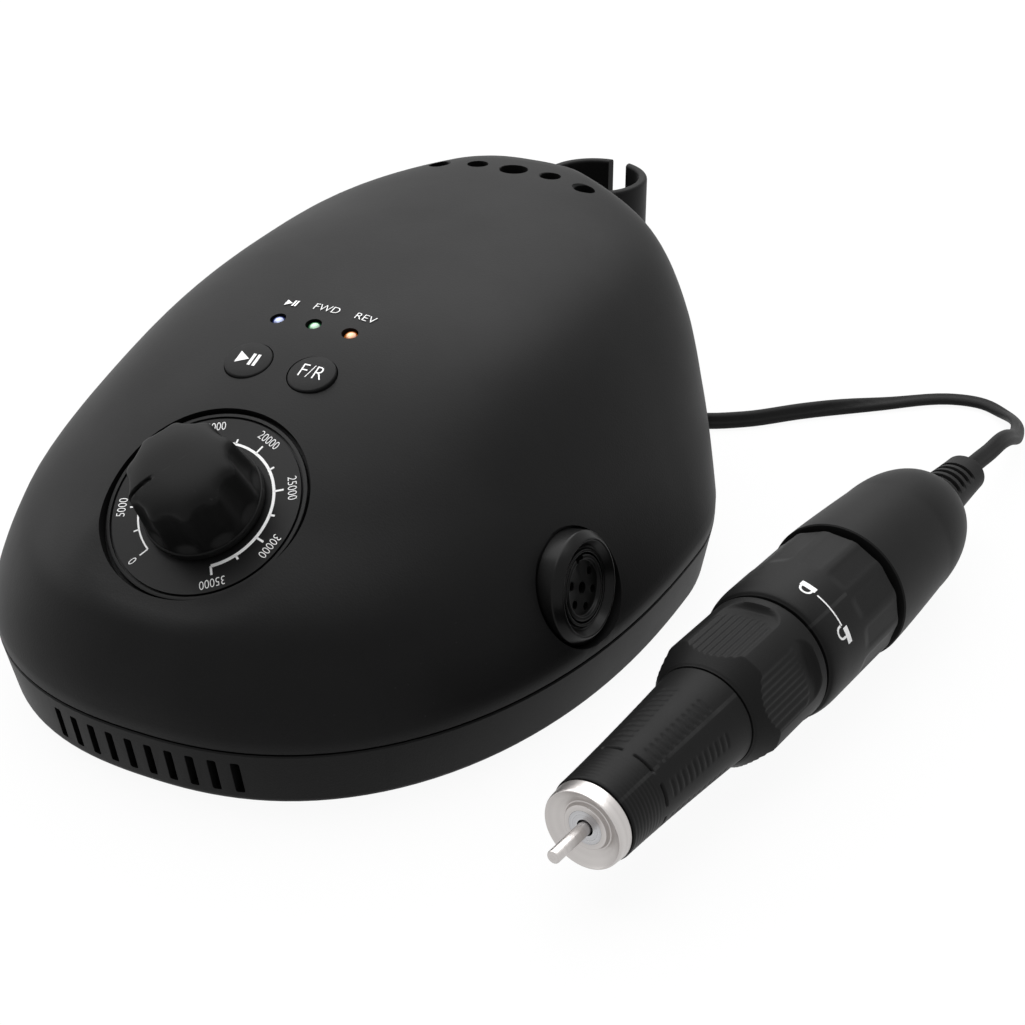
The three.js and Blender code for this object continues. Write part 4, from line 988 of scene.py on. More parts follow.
def board_finish(name):
    """Lacquered circuit board with copper tracks under the lacquer."""
    material, tree, shader, vector = start_material(name)
    tracks = node(
        tree,
        "ShaderNodeTexBrick",
        {
            "Vector": vector,
            "Scale": 260.0,
            "Mortar Size": 0.12,
            "Color1": (0.012, 0.09, 0.035, 1.0),
            "Color2": (0.016, 0.12, 0.045, 1.0),
            "Mortar": (0.05, 0.22, 0.08, 1.0),
        },
    )
    surface = grouped(tree, moulding_group, vector, grain=1800.0)
    tree.links.new(
        mixed(tree, scaled(tree, surface.outputs["Mottle"], 0.3), tracks.outputs["Color"], (0.01, 0.07, 0.03, 1.0)),
        shader.inputs["Base Color"],
    )
    handling = grouped(tree, handling_group, vector, smoother=0.25, rougher=0.4)
    tree.links.new(handling.outputs["Roughness"], shader.inputs["Roughness"])
    lift = node(tree, "ShaderNodeBump", {"Height": tracks.outputs["Fac"], "Strength": 0.2, "Distance": 0.0001})
    tree.links.new(lift.outputs["Normal"], shader.inputs["Normal"])
    return material


COOL = (0.98, 0.98, 1.0)
case_black = plastic("case_black", grey(0.0045, COOL), grey(0.0075, COOL), 0.44, 0.52, specular=0.09, dust=0.06)
trim_black = plastic(
    "trim_black", grey(0.003), grey(0.005), 0.22, 0.32, grain=1500.0, bump=0.02, specular=0.12, dust=0.03
)
knob_black = plastic(
    "knob_black", grey(0.004), grey(0.006), 0.44, 0.52, grain=3000.0, bump=0.06, specular=0.1, dust=0.05
)
dial_film = plastic(
    "dial_film", grey(0.006, COOL), grey(0.009, COOL), 0.36, 0.44, grain=5200.0, bump=0.04, specular=0.12, dust=0.05
)
grip_black = plastic(
    "grip_black", grey(0.005), grey(0.008), 0.42, 0.52, grain=3200.0, bump=0.1, specular=0.1, dust=0.06
)
rubber_black = plastic(
    "rubber_black", grey(0.005), grey(0.009), 0.48, 0.62, grain=3600.0, bump=0.12, specular=0.12, dust=0.1
)
ink_white = printed("ink_white", grey(0.86))
steel_nose = turned_metal(
    "steel_nose", (0.6, 0.575, 0.56, 1.0), (0.44, 0.42, 0.41, 1.0), 0.34, 0.44, handpiece_place
)
steel_dark = turned_metal(
    "steel_dark", (0.55, 0.55, 0.56, 1.0), (0.38, 0.38, 0.39, 1.0), 0.24, 0.36, handpiece_place, bump=0.2
)
steel_small = turned_metal("steel_small", (0.6, 0.6, 0.61, 1.0), (0.42, 0.42, 0.43, 1.0), 0.22, 0.34, dial_place)
brass_turned = turned_metal(
    "brass_turned", (0.72, 0.5, 0.22, 1.0), (0.5, 0.33, 0.13, 1.0), 0.22, 0.34, socket_place
)
aluminium_drawn = turned_metal(
    "aluminium_drawn", (0.62, 0.63, 0.65, 1.0), (0.46, 0.47, 0.49, 1.0), 0.32, 0.45, at(0, 0), pitch=3000.0
)
board_green = board_finish("board_green")


# Cord, its coil and the plug

def coil_point(loops):
    outer = COIL_MEAN_RADIUS + COIL_PITCH * COIL_LOOPS_PER_LAYER / 2
    inward = loops if loops < COIL_LOOPS_PER_LAYER else 2 * COIL_LOOPS_PER_LAYER - loops
    radius = outer - COIL_PITCH * inward
    angle = QUARTER_TURN + loops * FULL_TURN
    climb = ramp(loops - COIL_LOOPS_PER_LAYER, -COIL_CLIMB / 2, COIL_CLIMB / 2)
    return Vector((
        COIL_CENTRE[0] + radius * math.cos(angle),
        COIL_CENTRE[1] + radius * math.sin(angle),
        CORD_DIAMETER / MM / 2 + COIL_RISE * climb,
    ))


def between(p0, p1, p2, p3, count):
    """Points of a centripetal curve from p1 up to p2."""
    t0 = 0.0
    t1 = t0 + (p1 - p0).length ** 0.5
    t2 = t1 + (p2 - p1).length ** 0.5
    t3 = t2 + (p3 - p2).length ** 0.5
    points = []
    for i in range(count):
        t = t1 + (t2 - t1) * i / count
        a1 = p0 * ((t1 - t) / (t1 - t0)) + p1 * ((t - t0) / (t1 - t0))
        a2 = p1 * ((t2 - t) / (t2 - t1)) + p2 * ((t - t1) / (t2 - t1))
        a3 = p2 * ((t3 - t) / (t3 - t2)) + p3 * ((t - t2) / (t3 - t2))
        b1 = a1 * ((t2 - t) / (t2 - t0)) + a2 * ((t - t0) / (t2 - t0))
        b2 = a2 * ((t3 - t) / (t3 - t1)) + a3 * ((t - t1) / (t3 - t1))
        points.append(b1 * ((t2 - t) / (t2 - t1)) + b2 * ((t - t1) / (t2 - t1)))
    return points


def curve_through(points, count):
    ends = [points[0] * 2 - points[1], *points, points[-1] * 2 - points[-2]]
    line = []
    for i in range(len(points) - 1):
        line += between(ends[i], ends[i + 1], ends[i + 2], ends[i + 3], count)
    return line + [points[-1]]


def cord_line():
    """Whole centre line in millimetres, from the strain relief to the plug."""
    relief_end = RELIEF_START + RELIEF_LENGTH
    start = handpiece_place @ Vector((0, 0, relief_end - OVERRUN))
    middle = handpiece_place @ Vector((0, 0, relief_end + 4))
    first = coil_point(0)
    run_in = Vector((-1, 0, 0)) * (CORD_DIAMETER / MM)
    route = [start, middle]
    route += [Vector(point) / MM for point in CORD_POINTS]
    route += [first - run_in * 2, first - run_in]
    free = curve_through(route, 6)
    for point in free:
        if point.x > CORD_LIFT_FROM:
            point.z += CORD_LIFT * (ramp(point.y, *CORD_LIFT_UP) - ramp(point.y, *CORD_LIFT_DOWN))
    loops = 2 * COIL_LOOPS_PER_LAYER
    coil = [coil_point(i / COIL_STEPS) for i in range(loops * COIL_STEPS + 1)]
    last = coil[-1]
    run_out = [last + Vector((-1, 0, 0)) * (COIL_RUN_OUT + OVERRUN) * i / 6 for i in range(1, 7)]
    return free + coil + run_out


def cord_rolls(points):
    """How far the flat cord is rolled at each point: it leans over on its way round the case."""
    rolls = []
    length = 0.0
    for i, point in enumerate(points):
        length += (point - points[i - 1]).length if i else 0
        degrees = CORD_ROLLS[0][1]
        for (start, before), (end, after) in zip(CORD_ROLLS, CORD_ROLLS[1:]):
            degrees += (after - before) * ramp(length, start, end)
        rolls.append(math.radians(degrees))
    return rolls


def laid_flat(points, rolls):
    """Lets the cord down onto the floor where its flat side lies on it."""
    radius = CORD_DIAMETER / MM / 2
    lowered = []
    for point, roll in zip(points, rolls):
        height = math.hypot(radius * math.sin(roll), CORD_HEIGHT / 2 * math.cos(roll))
        drop = (radius - height) * (1 - ramp(point.z, radius * 3.6, radius * 6))
        lowered.append(Vector((point.x, point.y, point.z - drop)))
    return lowered


def twin_section():
    """Section of the flat twin cord: two rounds run together, with a groove above and below."""
    bm = bmesh.new()
    bmesh.ops.create_circle(bm, cap_ends=False, segments=32, radius=1)
    half_width = CORD_DIAMETER / MM / 2
    half_height = CORD_HEIGHT / 2
    for vert in bm.verts:
        angle = math.atan2(vert.co.y, vert.co.x)
        pinch = 1 - 0.32 * math.exp(-((math.cos(angle) / 0.24) ** 2))
        width = half_width * math.copysign(abs(math.cos(angle)) ** 0.85, math.cos(angle))
        vert.co = (width, half_height * math.sin(angle) * pinch, 0)
    return bm


def swept(section_bm, points, rolls):
    """Tube of a section along points, rolled at each and closed at both ends."""
    bm = bmesh.new()
    ring = [vert.co.copy() for vert in section_bm.verts]
    section_bm.free()
    loops = []
    for i, (point, roll) in enumerate(zip(points, rolls)):
        along = points[min(i + 1, len(points) - 1)] - points[max(i - 1, 0)]
        place = placement(point, along, UP) @ Matrix.Rotation(roll, 4, "Z")
        verts = [bm.verts.new(place @ corner) for corner in ring]
        loops.append([bm.edges.new((a, b)) for a, b in zip(verts, verts[1:] + verts[:1])])
    for lower, upper in zip(loops, loops[1:]):
        bmesh.ops.bridge_loops(bm, edges=lower + upper)
    bmesh.ops.contextual_create(bm, geom=loops[0])
    bmesh.ops.contextual_create(bm, geom=loops[-1])
    return bm


def add_cord():
    line = cord_line()
    rolls = cord_rolls(line)
    points = laid_flat(line, rolls)
    cord = finished(
        "twin_cord",
        swept(twin_section(), points, rolls),
        rubber_black,
        "handpiece",
        ("cord", "cord_coil"),
        crease=50,
    )
    path = [TO_FRAME @ point for point in points]
    length = sum((b - a).length for a, b in zip(path, path[1:]))
    exit_point = TO_FRAME @ handpiece_place @ Vector((0, 0, RELIEF_START + RELIEF_LENGTH))
    return cord, path, length, exit_point


def add_plug():
    """Plug at the end of the coil: ribbed boot, grip, metal shell and contacts."""
    end = coil_point(2 * COIL_LOOPS_PER_LAYER) + Vector((-1, 0, 0)) * (COIL_RUN_OUT + GAP)
    place = placement(end, Vector((-1, 0, 0)), UP)
    face = PLUG_BOOT + PLUG_BODY
    profile = [(0, 0), (2.45, 0, 0.3)]
    for i in range(4):
        z = 1.6 + i * 1.85
        radius = 2.6 + 0.32 * i
        profile += [(radius, z - 0.35, 0.2), (radius - 0.7, z, 0.2), (radius - 0.7, z + 0.7, 0.2), (radius, z + 1.05, 0.2)]
    profile += [
        (3.9, PLUG_BOOT, 0.3),
        (5.3, PLUG_BOOT + 2.4, 0.8),
        (PLUG_RADIUS, PLUG_BOOT + 4.6, 1.0),
        (PLUG_RADIUS, face - 0.8),
        (5.2, face),
        (0, face),
    ]
    grip = turned(profile, 96)

    def ribbed(radius, angle, z):
        along = ramp(z, PLUG_BOOT + 4, PLUG_BOOT + 5) * (1 - ramp(z, face - 2, face - 1.2))
        return radius - 0.22 * along * (0.5 + 0.5 * math.cos(24 * angle)), z

    body = finished(
        "plug_grip", reshaped(grip, ribbed), rubber_black, "handpiece", ("plug_body",), place
    )
    start = face + GAP
    end_of_shell = start + PLUG_SHELL
    shell = turned(
        [(4.9, start), (5.7, start), (5.7, end_of_shell, 0.25), (4.9, end_of_shell, 0.2)], 72
    )
    shell_piece = finished(
        "plug_sleeve", shell, steel_small, "handpiece", ("plug_shell",), place
    )
    core = disc(4.6, start, start + 5, 48)
    pins = []
    for angle in contact_angles():
        spot = at(CONTACT_CIRCLE * math.cos(angle), CONTACT_CIRCLE * math.sin(angle))
        tip = start + 10
        pins.append(turned([(0, start + 4), (0.7, start + 4), (0.7, tip - 0.5, 0.3), (0, tip)], 16, spot))
    pins_piece = finished("plug_pins", together(core, *pins), brass_turned, "handpiece", ("plug_contacts",), place)
    return [body, shell_piece, pins_piece]


def contact_angles():
    return [
        -QUARTER_TURN - CONTACT_ARC / 2 + CONTACT_ARC * i / (CONTACT_COUNT - 1) for i in range(CONTACT_COUNT)
    ]


cord_piece, cord_path, cord_length, cord_exit = add_cord()
plug_pieces = add_plug()


# Upper shell

def stepped_cutter(wide, seat, narrow, depth, place, steps=96):
    """Cutter for a round seat with a narrower hole through its floor."""
    return turned(
        [(0, -depth), (narrow, -depth), (narrow, -seat), (wide, -seat), (wide, DIAL_RADIUS), (0, DIAL_RADIUS)],
        steps,
        place,
    )


def case_holes():
    holes = [stepped_cutter(DIAL_RADIUS + RECESS_GROWTH, DIAL_DEPTH, BUSHING_RADIUS, 12, dial_place, 144)]
    for spot in button_places:
        holes.append(disc(BUTTON_HOLE_RADIUS, -12, 6, 72, keys_place @ at(spot.x, spot.y)))
    for spot in lamp_places:
        holes.append(disc(LAMP_HOLE_RADIUS, -12, 6, 40, keys_place @ at(spot.x, spot.y)))
    for x, y, radius in bit_holes:
        top = top_height(x, y)
        flare = 0.15
        holes.append(turned(
            [
                (0, top - BIT_HOLE_DEPTH),
                (radius, top - BIT_HOLE_DEPTH),
                (radius, top - flare),
                (radius + flare * 3, top + flare * 2),
                (radius + flare * 3, CASE_TOP + 5),
                (0, CASE_TOP + 5),
            ],
            56,
            at(x, y),
        ))
    holes.append(stepped_cutter(
        SOCKET_RADIUS - GAP / 2, SOCKET_SEAT, SOCKET_BARREL_RADIUS + GAP, SOCKET_BARREL + 2, socket_place
    ))
    holes.append(stepped_cutter(
        JACK_RADIUS + GAP, REAR_SEAT, JACK_RADIUS - JACK_FLANGE + GAP, JACK_DEPTH + 4, jack_place, 72
    ))
    frame_side = 2 * (ROCKER_FRAME + 2 * GAP)
    wide, high = ROCKER_WIDTH + frame_side, ROCKER_HEIGHT + frame_side
    holes.append(block(wide, high, -REAR_SEAT, 20, place=rocker_place))
    return holes


def case_bosses():
    far = 2 * DIAL_RADIUS
    bosses = [disc(DIAL_RADIUS + 2 * WALL, -DIAL_DEPTH - 2.2, far, 72, dial_place)]
    for spot in button_places:
        bosses.append(disc(6.3, -4.4, far, 32, keys_place @ at(spot.x, spot.y)))
    for x, y, radius in bit_holes:
        bottom = top_height(x, y) - BIT_HOLE_DEPTH - 1.6
        bosses.append(disc(radius + 1.6, bottom, far * 2, 24, at(x, y)))
    bosses.append(disc(SOCKET_RADIUS + WALL, -SOCKET_SEAT - WALL, far, 48, socket_place))
    bosses.append(disc(JACK_RADIUS + WALL, -3.8, far, 32, jack_place))
    wide = ROCKER_WIDTH + 2 * (ROCKER_FRAME + 2 * GAP) + 2 * WALL
    bosses.append(block(wide, wide + ROCKER_HEIGHT - ROCKER_WIDTH, -3.8, far, place=rocker_place))
    return bosses


def shaded_like(piece, reference):
    """Shades the faces that lie on a smooth surface as that surface itself is shaded."""
    surface = BVHTree.FromBMesh(reference)
    reference.faces.ensure_lookup_table()
    mesh = piece.data
    corner_normals = [Vector(corner.vector) for corner in mesh.corner_normals]
    near = 0.00005
    for polygon in mesh.polygons:
        middle, face_normal, _, distance = surface.find_nearest(polygon.center)
        if middle is None or distance > near or polygon.normal.dot(face_normal) < 0.9:
            continue
        for index in polygon.loop_indices:
            place = mesh.vertices[mesh.loops[index].vertex_index].co
            spot, _, face_index, _ = surface.find_nearest(place)
            face = reference.faces[face_index]
            total = Vector((0, 0, 0))
            for vert in face.verts:
                weight = 1 / ((vert.co - spot).length_squared + 1e-12)
                total += vert.normal * weight
            corner_normals[index] = total.normalized()
    mesh.normals_split_custom_set(corner_normals)


def lipped(bm):
    """Lets the case down a little round the dial, where it would stand above the lip."""
    inverse = dial_place.inverted()
    normal = dial_place.to_3x3() @ UP
    for vert in bm.verts:
        seen = inverse @ vert.co
        away = math.hypot(seen.x, seen.y)
        if away < RECESS_LIP_REACH and seen.z > RECESS_LIP:
            near = 1 - ramp(away, DIAL_RADIUS + RECESS_GROWTH, RECESS_LIP_REACH)
            vert.co -= normal * (seen.z - RECESS_LIP) * near
    return bm


def add_upper_shell():
    bottom = SEAM_HEIGHT + GAP
    lower = [(section(0, SEAM_STEP), bottom), (section(0), bottom + SEAM_STEP_HEIGHT)]
    outside = lipped(dome(0, CASE_SIDES, CASE_LEVELS, lower))
    reference = outside.copy()
    reference.transform(TO_FRAME)
    reference.normal_update()
    liner = dome(WALL, LINER_SIDES, LINER_LEVELS, [(section(0, WALL), BASE_BOTTOM)])
    hollow = cut(liner, *case_bosses())
    shell = cut(outside, hollow, together(*case_holes()))
    piece = finished("case_top", shell, case_black, "control_unit", ("upper_shell",), crease=30)
    shaded_like(piece, reference)
    reference.free()


def add_base_tray():
    def lean(z):
        return TRAY_TAPER * (SEAM_HEIGHT - z) / (SEAM_HEIGHT - BASE_BOTTOM)

    stations = []
    for turn in evenly(0, QUARTER_TURN, TRAY_EDGE_STEPS):
        z = BASE_BOTTOM + TRAY_EDGE * (1 - math.cos(turn))
        stations.append((section(0, lean(z) + TRAY_EDGE * (1 - math.sin(turn))), z))
    rim = SEAM_HEIGHT - SEAM_STEP_HEIGHT
    stations.append((section(0, lean(rim)), rim))
    stations.append((section(0, SEAM_STEP), SEAM_HEIGHT))
    stations.append((section(0, LIP_INSET), SEAM_HEIGHT))
    stations.append((section(0, LIP_INSET), SEAM_HEIGHT + LIP_HEIGHT))
    outside = lofted(stations, CASE_SIDES)
    floor = BASE_BOTTOM + TRAY_FLOOR
    inner = TRAY_TAPER + WALL
    pocket = lofted(
        [
            (section(0, inner + TRAY_EDGE), floor),
            (section(0, inner), floor + TRAY_EDGE),
            (section(0, inner), SEAM_HEIGHT + LIP_HEIGHT + OVERRUN),
        ],
        LINER_SIDES,
    )
    vents = []
    for i in range(VENT_COUNT):
        x = (i - (VENT_COUNT - 1) / 2) * VENT_PITCH
        place = placement(Vector((x, -FRONT_REACH, (VENT_BOTTOM + VENT_TOP) / 2)), -BACK, UP)
        slot = block(
            VENT_WIDTH, VENT_TOP - VENT_BOTTOM, -FRONT_REACH / 2, 20, VENT_WIDTH * 0.22, True, place
        )
        vents.append(slot)
    seats = [disc(FOOT_RADIUS + GAP, 0, BASE_BOTTOM + FOOT_RECESS, 64, at(x, y)) for x, y in foot_places]
    for x, y in screw_places:
        seat = BASE_BOTTOM + SCREW_SINK + SCREW_HEAD_HEIGHT + GAP
        seats.append(turned(
            [
                (0, 0),
                (SCREW_HEAD_RADIUS + 2 * GAP, 0),
                (SCREW_HEAD_RADIUS + 2 * GAP, seat),
                (SCREW_SHANK_RADIUS + GAP, seat),
                (SCREW_SHANK_RADIUS + GAP, SEAM_HEIGHT),
                (0, SEAM_HEIGHT),
            ],
            40,
            at(x, y),
        ))
    socket_notch = disc(SOCKET_RADIUS + WALL + GAP, -SOCKET_BARREL - GAP, SOCKET_RADIUS, 48, socket_place)
    top_half = cut(socket_notch, block(400, 400, 0, SEAM_HEIGHT + GAP / 2))
    posts = [disc(3.7, BASE_BOTTOM + OVERRUN, SEAM_HEIGHT, 32, at(x, y)) for x, y in screw_places]
    pocket = cut(pocket, *posts)
    tray = cut(outside, pocket, top_half, together(*vents, *seats))
    finished("case_base", tray, case_black, "control_unit", ("base_tray",), crease=30)


def add_feet_and_screws():
    for i, (x, y) in enumerate(foot_places):
        foot = turned(
            [
                (0, 0.5),
                (2.6, 0.5, 0.2),
                (2.9, 0, 0.2),
                (FOOT_RADIUS - 0.5, 0, 0.3),
                (FOOT_RADIUS, 0.8, 0.3),
                (FOOT_RADIUS, FOOT_HEIGHT),
                (0, FOOT_HEIGHT),
            ],
            64,
            at(x, y),
        )
        name = f"foot_{i + 1}"
        finished(f"rubber_{name}", foot, rubber_black, "control_unit", (name,))
    for i, (x, y) in enumerate(screw_places):
        bottom = BASE_BOTTOM + SCREW_SINK
        screw = turned(
            [
                (0, bottom),
                (SCREW_HEAD_RADIUS, bottom, 0.6),
                (SCREW_HEAD_RADIUS, bottom + SCREW_HEAD_HEIGHT),
                (SCREW_SHANK_RADIUS, bottom + SCREW_HEAD_HEIGHT),
                (SCREW_SHANK_RADIUS, bottom + SCREW_LENGTH - SCREW_SINK - 1.6),
                (0, bottom + SCREW_LENGTH - SCREW_SINK),
            ],
            40,
            at(x, y),
        )
        slots = [
            block(width, depth, bottom - OVERRUN, bottom + 1, place=at(x, y))
            for width, depth in ((3.4, 0.75), (0.75, 3.4))
        ]
        name = f"case_screw_{i + 1}"
        finished(f"cross_screw_{i + 1}", cut(screw, *slots), steel_small, "control_unit", (name,), crease=25)


add_upper_shell()
add_base_tray()
add_feet_and_screws()


# Printed marks

def lettering(text, size, squeeze=1.0, place=None):
    """Raised print of a text, centred on its place."""
    curve = bpy.data.curves.new("print", "FONT")
    curve.body = text
    curve.size = size
    curve.align_x = "CENTER"
    curve.align_y = "CENTER"
    curve.extrude = PRINT_HEIGHT
    curve.offset = -0.013 * size
    curve.resolution_u = 6
    thing = linked("print", curve)
    graph = bpy.context.evaluated_depsgraph_get()
    mesh = bpy.data.meshes.new_from_object(thing.evaluated_get(graph))
    bm = bmesh.new()
    bm.from_mesh(mesh)
    bpy.data.objects.remove(thing)
    bpy.data.curves.remove(curve)
    bpy.data.meshes.remove(mesh)
    bmesh.ops.scale(bm, vec=(squeeze, 1, 1), verts=bm.verts)
    if place is not None:
        bm.transform(place)
    return bm


def bar(width, height, x=0.0, y=0.0, turn=0.0):
    """Flat printed bar."""
    return block(
        width, height, -PRINT_HEIGHT, PRINT_HEIGHT, place=at(x, y) @ Matrix.Rotation(turn, 4, "Z")
    )


def triangle(width, height, x=0.0, y=0.0):
    bm = bmesh.new()
    corners = [(-width / 2, -height / 2), (width / 2, 0), (-width / 2, height / 2)]
    bm.faces.new([bm.verts.new((a, b, -PRINT_HEIGHT)) for a, b in corners])
    grown = bmesh.ops.extrude_face_region(bm, geom=bm.faces[:])["geom"]
    verts = [item for item in grown if isinstance(item, bmesh.types.BMVert)]
    bmesh.ops.translate(bm, vec=(0, 0, 2 * PRINT_HEIGHT), verts=verts)
    bm.transform(at(x, y))
    return bm


def play_pause(height):
    """Generic start and stop mark: a triangle and two bars."""
    return together(
        triangle(height * 0.8, height, -height * 0.32),
        bar(height * 0.2, height, height * 0.28),
        bar(height * 0.2, height, height * 0.62),
    )


def arc_strip(radius, start, end, start_width, end_width, steps=120):
    """Flat printed arc whose width grows from one end to the other; angles run clockwise from +y."""
    bm = bmesh.new()
    bmesh.ops.create_grid(bm, x_segments=steps, y_segments=1, size=0.5)
    for vert in bm.verts:
        share = vert.co.x + 0.5
        angle = start + (end - start) * share
        width = start_width + (end_width - start_width) * share
        size = radius + vert.co.y * width
        vert.co = (size * math.sin(angle), size * math.cos(angle), -PRINT_HEIGHT)
    grown = bmesh.ops.extrude_face_region(bm, geom=bm.faces[:])["geom"]
    verts = [item for item in grown if isinstance(item, bmesh.types.BMVert)]
    bmesh.ops.translate(bm, vec=(0, 0, 2 * PRINT_HEIGHT), verts=verts)
    return bm


# Dial and knob

def add_dial():
    plate = turned(
        [
            (BUSHING_RADIUS, PLATE_BOTTOM),
            (PLATE_RADIUS, PLATE_BOTTOM),
            (PLATE_RADIUS, PLATE_TOP, 0.15),
            (PLATE_GROOVE_RADIUS + PLATE_GROOVE / 2, PLATE_TOP),
            (PLATE_GROOVE_RADIUS + PLATE_GROOVE / 2, PLATE_TOP - 0.7),
            (PLATE_GROOVE_RADIUS - PLATE_GROOVE / 2, PLATE_TOP - 0.7),
            (PLATE_GROOVE_RADIUS - PLATE_GROOVE / 2, PLATE_TOP),
            (BUSHING_RADIUS, PLATE_TOP),
        ],
        144,
    )
    finished("dial_face", plate, dial_film, "control_unit", ("dial_plate",), dial_place)
    surface = at(0, 0, PLATE_TOP)
    start, end = math.radians(SCALE_START), math.radians(SCALE_END)
    marks = [arc_strip(SCALE_RADIUS, start, end, 0.3, 0.62)]
    spaces = 2 * (SCALE_LABELS - 1)
    for i, angle in enumerate(evenly(start, end, spaces)):
        length = TICK_SHORT if i % 2 else TICK_LONG
        tick = bar(0.26 + 0.14 * i / spaces, length, 0, SCALE_RADIUS + length / 2)
        tick.transform(Matrix.Rotation(-angle, 4, "Z"))
        marks.append(tick)
        if i % 2 == 0:
            place = Matrix.Rotation(-angle, 4, "Z") @ at(0, LABEL_RADIUS)
            marks.append(lettering(str(SCALE_STEP * (i // 2)), LABEL_SIZE, LABEL_SQUEEZE, place))
    finished("dial_marks", together(*marks), ink_white, "control_unit", (), dial_place @ surface, 20)


def add_knob():
    profile = [(0, KNOB_BOTTOM + KNOB_HOLLOW), (KNOB_HOLLOW_RADIUS, KNOB_BOTTOM + KNOB_HOLLOW)]
    profile += [
        (KNOB_HOLLOW_RADIUS, KNOB_BOTTOM, 0.2),
        (KNOB_SKIRT_RADIUS, KNOB_BOTTOM, 0.25),
        (KNOB_SKIRT_RADIUS, KNOB_BOTTOM + KNOB_SKIRT_HEIGHT, 0.3),
        (KNOB_GRIP_RADIUS, KNOB_BOTTOM + KNOB_SKIRT_HEIGHT),
    ]
    grip_start = KNOB_BOTTOM + KNOB_SKIRT_HEIGHT
    for z in evenly(grip_start, KNOB_SHOULDER, 18)[1:]:
        share = (z - grip_start) / (KNOB_SHOULDER - grip_start)
        profile.append((KNOB_GRIP_RADIUS + (KNOB_SHOULDER_RADIUS - KNOB_GRIP_RADIUS) * share, z))
    for turn in evenly(0, QUARTER_TURN, 40)[1:-1]:
        radius = KNOB_SHOULDER_RADIUS * math.cos(turn) ** 0.66
        profile.append((radius, KNOB_SHOULDER + (KNOB_TOP - KNOB_SHOULDER) * math.sin(turn) ** 0.9))
    profile.append((0, KNOB_TOP))
    knob = turned(profile, KNOB_SIDES)
    pointer = QUARTER_TURN - KNOB_POINTER

    def fluted(radius, angle, z):
        if radius <= KNOB_HOLLOW_RADIUS + WELD and z < KNOB_SHOULDER:
            return radius, z
        lobe = abs(math.cos(KNOB_LOBES * (angle - pointer) / 2)) ** 3
        depth = KNOB_FLUTE * ramp(z, grip_start, grip_start + 1.4) * (1 - ramp(z, KNOB_SHOULDER + 0.5, KNOB_TOP - 0.5))
        away = radius * math.sin(angle - pointer)
        ahead = radius * math.cos(angle - pointer)
        groove = 0
        if z > KNOB_SHOULDER - 5:
            groove = (1 - ramp(abs(away), POINTER_WIDTH * 0.55, POINTER_WIDTH)) * ramp(ahead, POINTER_START, POINTER_START + 0.5)
        sideways = groove * POINTER_DEPTH * (1 - ramp(z, KNOB_SHOULDER + 2.5, KNOB_SHOULDER + 3.6))
        return radius - depth * (1 - lobe) - sideways, z - groove * POINTER_DEPTH

    body = reshaped(knob, fluted)
    shaft = disc(3, -7.8, KNOB_BOTTOM + KNOB_HOLLOW + 0.5, 40)
    finished(
        "pointer_knob", together(body, shaft), knob_black, "speed_knob", ("speed_knob",), dial_place, 40
    )


add_dial()
add_knob()


# Keys and lamps

def add_keys():
    names = ("start_button", "direction_button")
    marks = (play_pause(2.9), lettering("F/R", 4.6, 0.82))
    for name, spot, mark in zip(names, button_places, marks):
        top = spot.z + BUTTON_PROUD
        profile = [
            (0, BUTTON_STEM_END),
            (1.6, BUTTON_STEM_END),
            (1.6, -BUTTON_DEPTH - 1),
            (5.4, -BUTTON_DEPTH - 1),
            (5.4, -BUTTON_DEPTH),
            (BUTTON_RADIUS, -BUTTON_DEPTH),
            (BUTTON_RADIUS, top - 0.25, 0.35),
            (BUTTON_RADIUS * 0.6, top - 0.04),
            (0, top),
        ]
        place = keys_place @ at(spot.x, spot.y)
        finished(f"{name}_cap", turned(profile, 96), case_black, name, (name,), place)
        mark_place = place @ at(0, 0, top)
        finished(f"{name}_mark", mark, ink_white, name, (), mark_place, 20)


def add_lamps():
    names = ("lamp_power", "lamp_forward", "lamp_reverse")
    slots = ("lens_blue", "lens_green", "lens_orange")
    glows = ((0.5, 0.6, 1.0, 1.0), (0.42, 0.8, 0.48, 1.0), (1.0, 0.55, 0.25, 1.0))
    rims = ((0.02, 0.03, 0.12, 1.0), (0.015, 0.08, 0.03, 1.0), (0.3, 0.08, 0.012, 1.0))
    for name, slot, glow, rim, spot in zip(names, slots, glows, rims, lamp_places):
        top = spot.z - 0.3
        profile = [(0, -10.7), (LAMP_RADIUS, -10.7), (LAMP_RADIUS, top - 0.7)]
        for turn in evenly(0, QUARTER_TURN, 8)[1:]:
            profile.append((LAMP_RADIUS * math.cos(turn), top - 0.7 + 0.7 * math.sin(turn)))
        lens = lamp_finish(f"{name}_lens", glow, rim, Vector((spot.x, spot.y, top)))
        place = keys_place @ at(spot.x, spot.y)
        finished(f"{name}_dome", turned(profile, 40), lens, "control_unit", (name,), place)


def laid_on_top(bm):
    """Lays a print made in the plane of the keys onto the case."""
    for vert in bm.verts:
        place = keys_place @ Vector((vert.co.x, vert.co.y, 0))
        height = (keys_inverse @ top_point(place.x, place.y)).z
        vert.co.z += height + PRINT_HEIGHT * 0.4
    return bm


def add_lamp_marks():
    icon = play_pause(1.8)
    icon.transform(at(-7.6, LAMP_LABEL_Y))
    forward = lettering("FWD", 2.75, 0.9, at(0, LAMP_LABEL_Y))
    reverse = lettering("REV", 2.75, 0.9, at(8, LAMP_LABEL_Y))
    finished("lamp_marks", laid_on_top(together(icon, forward, reverse)), ink_white, "control_unit", (), keys_place, 20)


add_keys()
add_lamps()
add_lamp_marks()


# Socket, supply jack, rocker and rest

